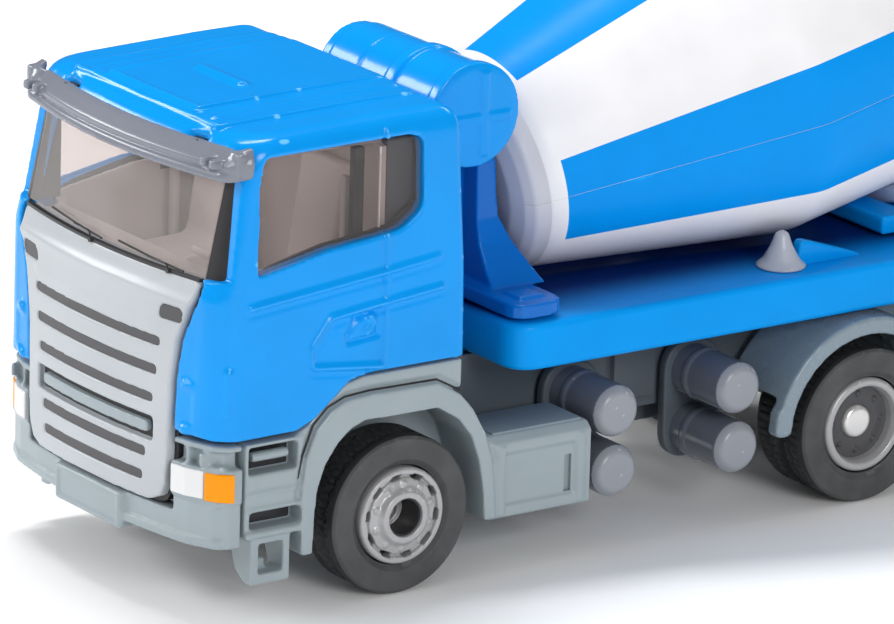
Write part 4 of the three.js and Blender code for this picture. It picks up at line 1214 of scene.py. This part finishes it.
def tread(spot, radius, along, inner, outer):
    """Presses the tread pattern in: a wavy line round the middle of each half and short cross cuts."""
    turn = math.atan2(spot.z, spot.x)
    edge = min(along - inner, outer - along)
    wave = 0.14 * math.sin(TREAD_WAVES * turn) + 0.06 * math.sin(3.1 * TREAD_WAVES * turn)
    depth = 0.0
    for part in (0.3, 0.7):
        line = inner + part * (outer - inner) + wave
        depth = max(depth, 0.22 * math.exp(-((along - line) / 0.15) ** 4))
    phase = (turn * TREAD_WAVES / (2 * math.pi) * 2 + (0.5 if along > (inner + outer) / 2 else 0)) % 1
    if phase < 0.2 and edge > 0.75:
        depth = max(depth, 0.12)
    return Vector((spot.x * (1 - depth / radius), spot.y, spot.z * (1 - depth / radius)))


def ring_of(count, radius, x0, x1, size, start=0.0):
    """Wheel nuts or studs, spaced evenly round the hub."""
    pegs = []
    for k in range(count):
        angle = 2 * math.pi * k / count + start
        pegs.append(rod(size, x0, x1, radius * math.cos(angle), radius * math.sin(angle), 0.05))
    return pegs


def front_hub():
    """The cast front hub: a flange with ten slots round a raised, open boss."""
    outline = [(1.0, 9.95), (3.72, 9.95), (3.72, 14.3), (3.6, 14.5), (3.2, 14.5), (3.12, 14.15),
               (3.0, 14.15), (2.93, 14.42), (2.3, 14.55), (1.95, 14.98), (1.48, 14.98), (1.44, 12.4),
               (1.0, 12.4)]
    disc = closed_turn(outline)
    cut(disc, *hub_slots(10, 3.07, 0.95, 0.42, 13.3, 15.5))
    lumps = ring_of(10, 2.5, 14.2, 14.62, 0.24, 0.3)
    return soften(join(disc, *lumps), 0.08, 3)


def hub_slots(count, radius, length, width, x0, x1):
    """The slots round the flange, as shapes to cut away; their lengths differ a little."""
    slots = []
    for k in range(count):
        half = length / 2 * (1 + 0.12 * math.sin(2.3 * k))
        outline = rounded_box(-half, half, radius - width / 2, radius + width / 2, 0.16, 4)
        shape = prism("x", outline, x0, x1)
        slots.append(moved(shape, Matrix.Rotation(2 * math.pi * (k + 0.3) / count, 4, "X")))
    return slots


def front_hub_shade():
    """Painted shade: dark sheets on the floors of the hub's slots and on the wall of its bore."""
    floor = closed_turn([(2.8, 13.1), (3.35, 13.1), (3.35, 13.5), (2.8, 13.5)])
    bore = closed_turn([(1.34, 12.45), (1.5, 12.45), (1.5, 14.7), (1.34, 14.7)])
    return join(floor, bore)


def closed_turn(outline):
    return turned(outline + [outline[0]], 0, 0, 120)


def rear_hub():
    """The rear hub: a bright rim round a sunk dish."""
    outline = [(1.0, 7.95), (3.72, 7.95), (3.72, 13.9), (3.55, 14.1), (3.1, 14.1), (2.92, 13.6),
               (2.86, 12.8), (1.7, 12.7), (1.0, 12.7)]
    return soften(closed_turn(outline), 0.085, 3)


def rear_hub_shaded_dish():
    """The dark dish inside the rear rim, with its wheel nuts: painted shade on the dish's floor."""
    dish = closed_turn([(1.32, 12.6), (2.92, 12.7), (2.92, 13.05), (2.6, 12.95), (1.9, 13.0), (1.32, 12.9)])
    return soften(join(dish, *ring_of(8, 2.25, 12.8, 13.2, 0.2)), 0.08, 2)


def wheel_set(place, y, twin):
    """One axle with its tyres and hubs on both sides."""
    body = f"{place}_wheels"
    lift = Matrix.Translation((0, y, 0))
    raised = Matrix.Translation((0, y, WHEEL_Z))
    inner = 7.9 if twin else 9.9
    rubber_ring = moved(tyre(inner, TYRE_OUTER, twin), lift)
    finish_pair(rubber_ring, f"tyre_{place}_tread", (SIDEWALL, TREAD), "tyre_rubber", f"tyre_{place}",
                body=body, sharp=60)
    disc = moved(rear_hub() if twin else front_hub(), raised)
    finish_pair(disc, f"hub_{place}_disc", HUB_SILVER, "hub_paint", f"hub_{place}", body=body, sharp=None)
    # These liners are painted shade in the hubs' hollows.
    shade_liner = moved(rear_hub_shaded_dish() if twin else front_hub_shade(), raised)
    finish_pair(shade_liner, f"hub_{place}_liner", SLOT_DARK if twin else CABIN_DARK, "hub_paint", body=body)
    shaft = rod(0.9, -12.3, 12.3, y, WHEEL_Z, 0.35)
    if twin:
        cap = rod(1.3, 12.0, 13.25, y, WHEEL_Z, 0.45)
        shaft = join(shaft, mirrored(cap), cap)
    finish_piece(shaft, f"axle_{place}_shaft", AXLE_STEEL, "steel", f"axle_{place}", body=body)


def build_wheels():
    wheel_set("front", 0, False)
    for i in (1, 2):
        low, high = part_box(f"axle_rear_{i}")
        wheel_set(f"rear_{i}", ((low[1] + high[1]) / 2 - AXLE_Y) / MM, True)


# ------------------------------------------------------------------ stage, light and camera
AMBIENT = 0.4
AMBIENT_GLOSS = 0.06
FLOOR_HALF = 40.0
FLOOR_DROP = 0.00003
SOFTBOXES = (  # name, place and target from the row frame's origin, width, height, watts
    ("overhead", (-0.2, 0.05, 0.62), (0, 0, 0.02), 0.40, 0.10, 2.3),
    ("side", (0.8, -0.14, 0.36), (0, 0, 0.02), 0.30, 0.30, 3.3),
    ("low_left", (-0.74, -0.50, 0.385), (0, 0, 0.03), 0.40, 0.18, 3.4),
    ("back_strip", (-0.1, 0.5, 0.55), (0, 0, 0.03), 0.40, 0.05, 0.8),
    ("front", (-0.2, -0.65, 0.35), (0, 0, 0.02), 0.3, 0.3, 1.6),
    ("cabin", (0, AXLE_Y - 0.0085, 0.034), (0, AXLE_Y - 0.008, 0.02), 0.018, 0.008, 0.0006),
)


def studio():
    """A pale floor, a white surround and the softboxes."""
    mesh = bpy.data.meshes.new("floor")
    size = FLOOR_HALF
    mesh.from_pydata([(-size, -size, 0), (size, -size, 0), (size, size, 0), (-size, size, 0)], [],
                     [(0, 1, 2, 3)])
    floor = bpy.data.objects.new("floor", mesh)
    floor.location.z = -FLOOR_DROP
    bpy.context.scene.collection.objects.link(floor)
    n = Nodes(bpy.data.materials.new("floor_white"))
    tone = n.mix(n.noise(3, 2), (0.96, 0.96, 0.96), (0.98, 0.98, 0.98))
    mesh.materials.append(n.finish(Base_Color=tone, Roughness=0.6, Specular_IOR_Level=0.2))
    surroundings()
    for row in SOFTBOXES:
        softbox(*row)
    bpy.context.scene.view_settings.view_transform = "Standard"


def surroundings():
    """A white surround that lights the truck gently and is kept dim in its reflections."""
    world = bpy.data.worlds.new("studio")
    bpy.context.scene.world = world
    n = Nodes(world)
    rays = n.add("ShaderNodeLightPath").outputs
    seen = n.spread(rays["Is Camera Ray"], AMBIENT, 1.0, 0.0, 1.0)
    dimmed = n.spread(rays["Is Glossy Ray"], 0.0, AMBIENT - AMBIENT_GLOSS, 0.0, 1.0)
    background = n.tree.nodes["Background"]
    n.feed(background.inputs["Color"], (0.985, 0.99, 1.0))
    n.feed(background.inputs["Strength"], n.calc("SUBTRACT", seen, dimmed))


def softbox(name, place, target, width, height, power):
    """A rectangular area light that the camera doesn't see."""
    light = bpy.data.lights.new(name, "AREA")
    light.shape = "RECTANGLE"
    light.size, light.size_y = width, height
    light.energy = power
    obj = bpy.data.objects.new(name, light)
    obj.location = place
    obj.rotation_euler = (Vector(target) - Vector(place)).to_track_quat("-Z", "Y").to_euler()
    obj.visible_camera = False
    bpy.context.scene.collection.objects.link(obj)


CAMERA_ANGLES = (54.45, 16.95, 1.68)  # azimuth from -Y towards +X, elevation and roll, in degrees
CAMERA_DISTANCE = 0.666
CAMERA_SHIFT = (0.01177, 0.01722)  # to the right and up, in metres
CAMERA_LENS = 356.1342  # mm, on a sensor 36 mm wide


def camera():
    """The camera, aimed at the front axle and then moved sideways, so that it needs no lens shift."""
    azimuth, elevation, roll = (math.radians(a) for a in CAMERA_ANGLES)
    back = Vector((math.sin(azimuth) * math.cos(elevation), -math.cos(azimuth) * math.cos(elevation),
                   math.sin(elevation)))
    level = Vector((math.cos(azimuth), math.sin(azimuth), 0))
    over = back.cross(level)
    right = level * math.cos(roll) + over * math.sin(roll)
    up = over * math.cos(roll) - level * math.sin(roll)
    data = bpy.data.cameras.new("camera")
    data.sensor_width, data.lens = 36.0, CAMERA_LENS
    data.clip_start, data.clip_end = 0.01, 100
    obj = bpy.data.objects.new("camera", data)
    turn = Matrix((right, up, back)).transposed().to_4x4()
    spot = Vector((0, AXLE_Y, 0)) + back * CAMERA_DISTANCE + right * CAMERA_SHIFT[0] + up * CAMERA_SHIFT[1]
    obj.matrix_world = Matrix.Translation(spot) @ turn
    bpy.context.scene.collection.objects.link(obj)
    bpy.context.scene.camera = obj


camera()
studio()
build_cab()
build_chassis()
build_superstructure()
build_drum()
build_chute()
build_wheels()
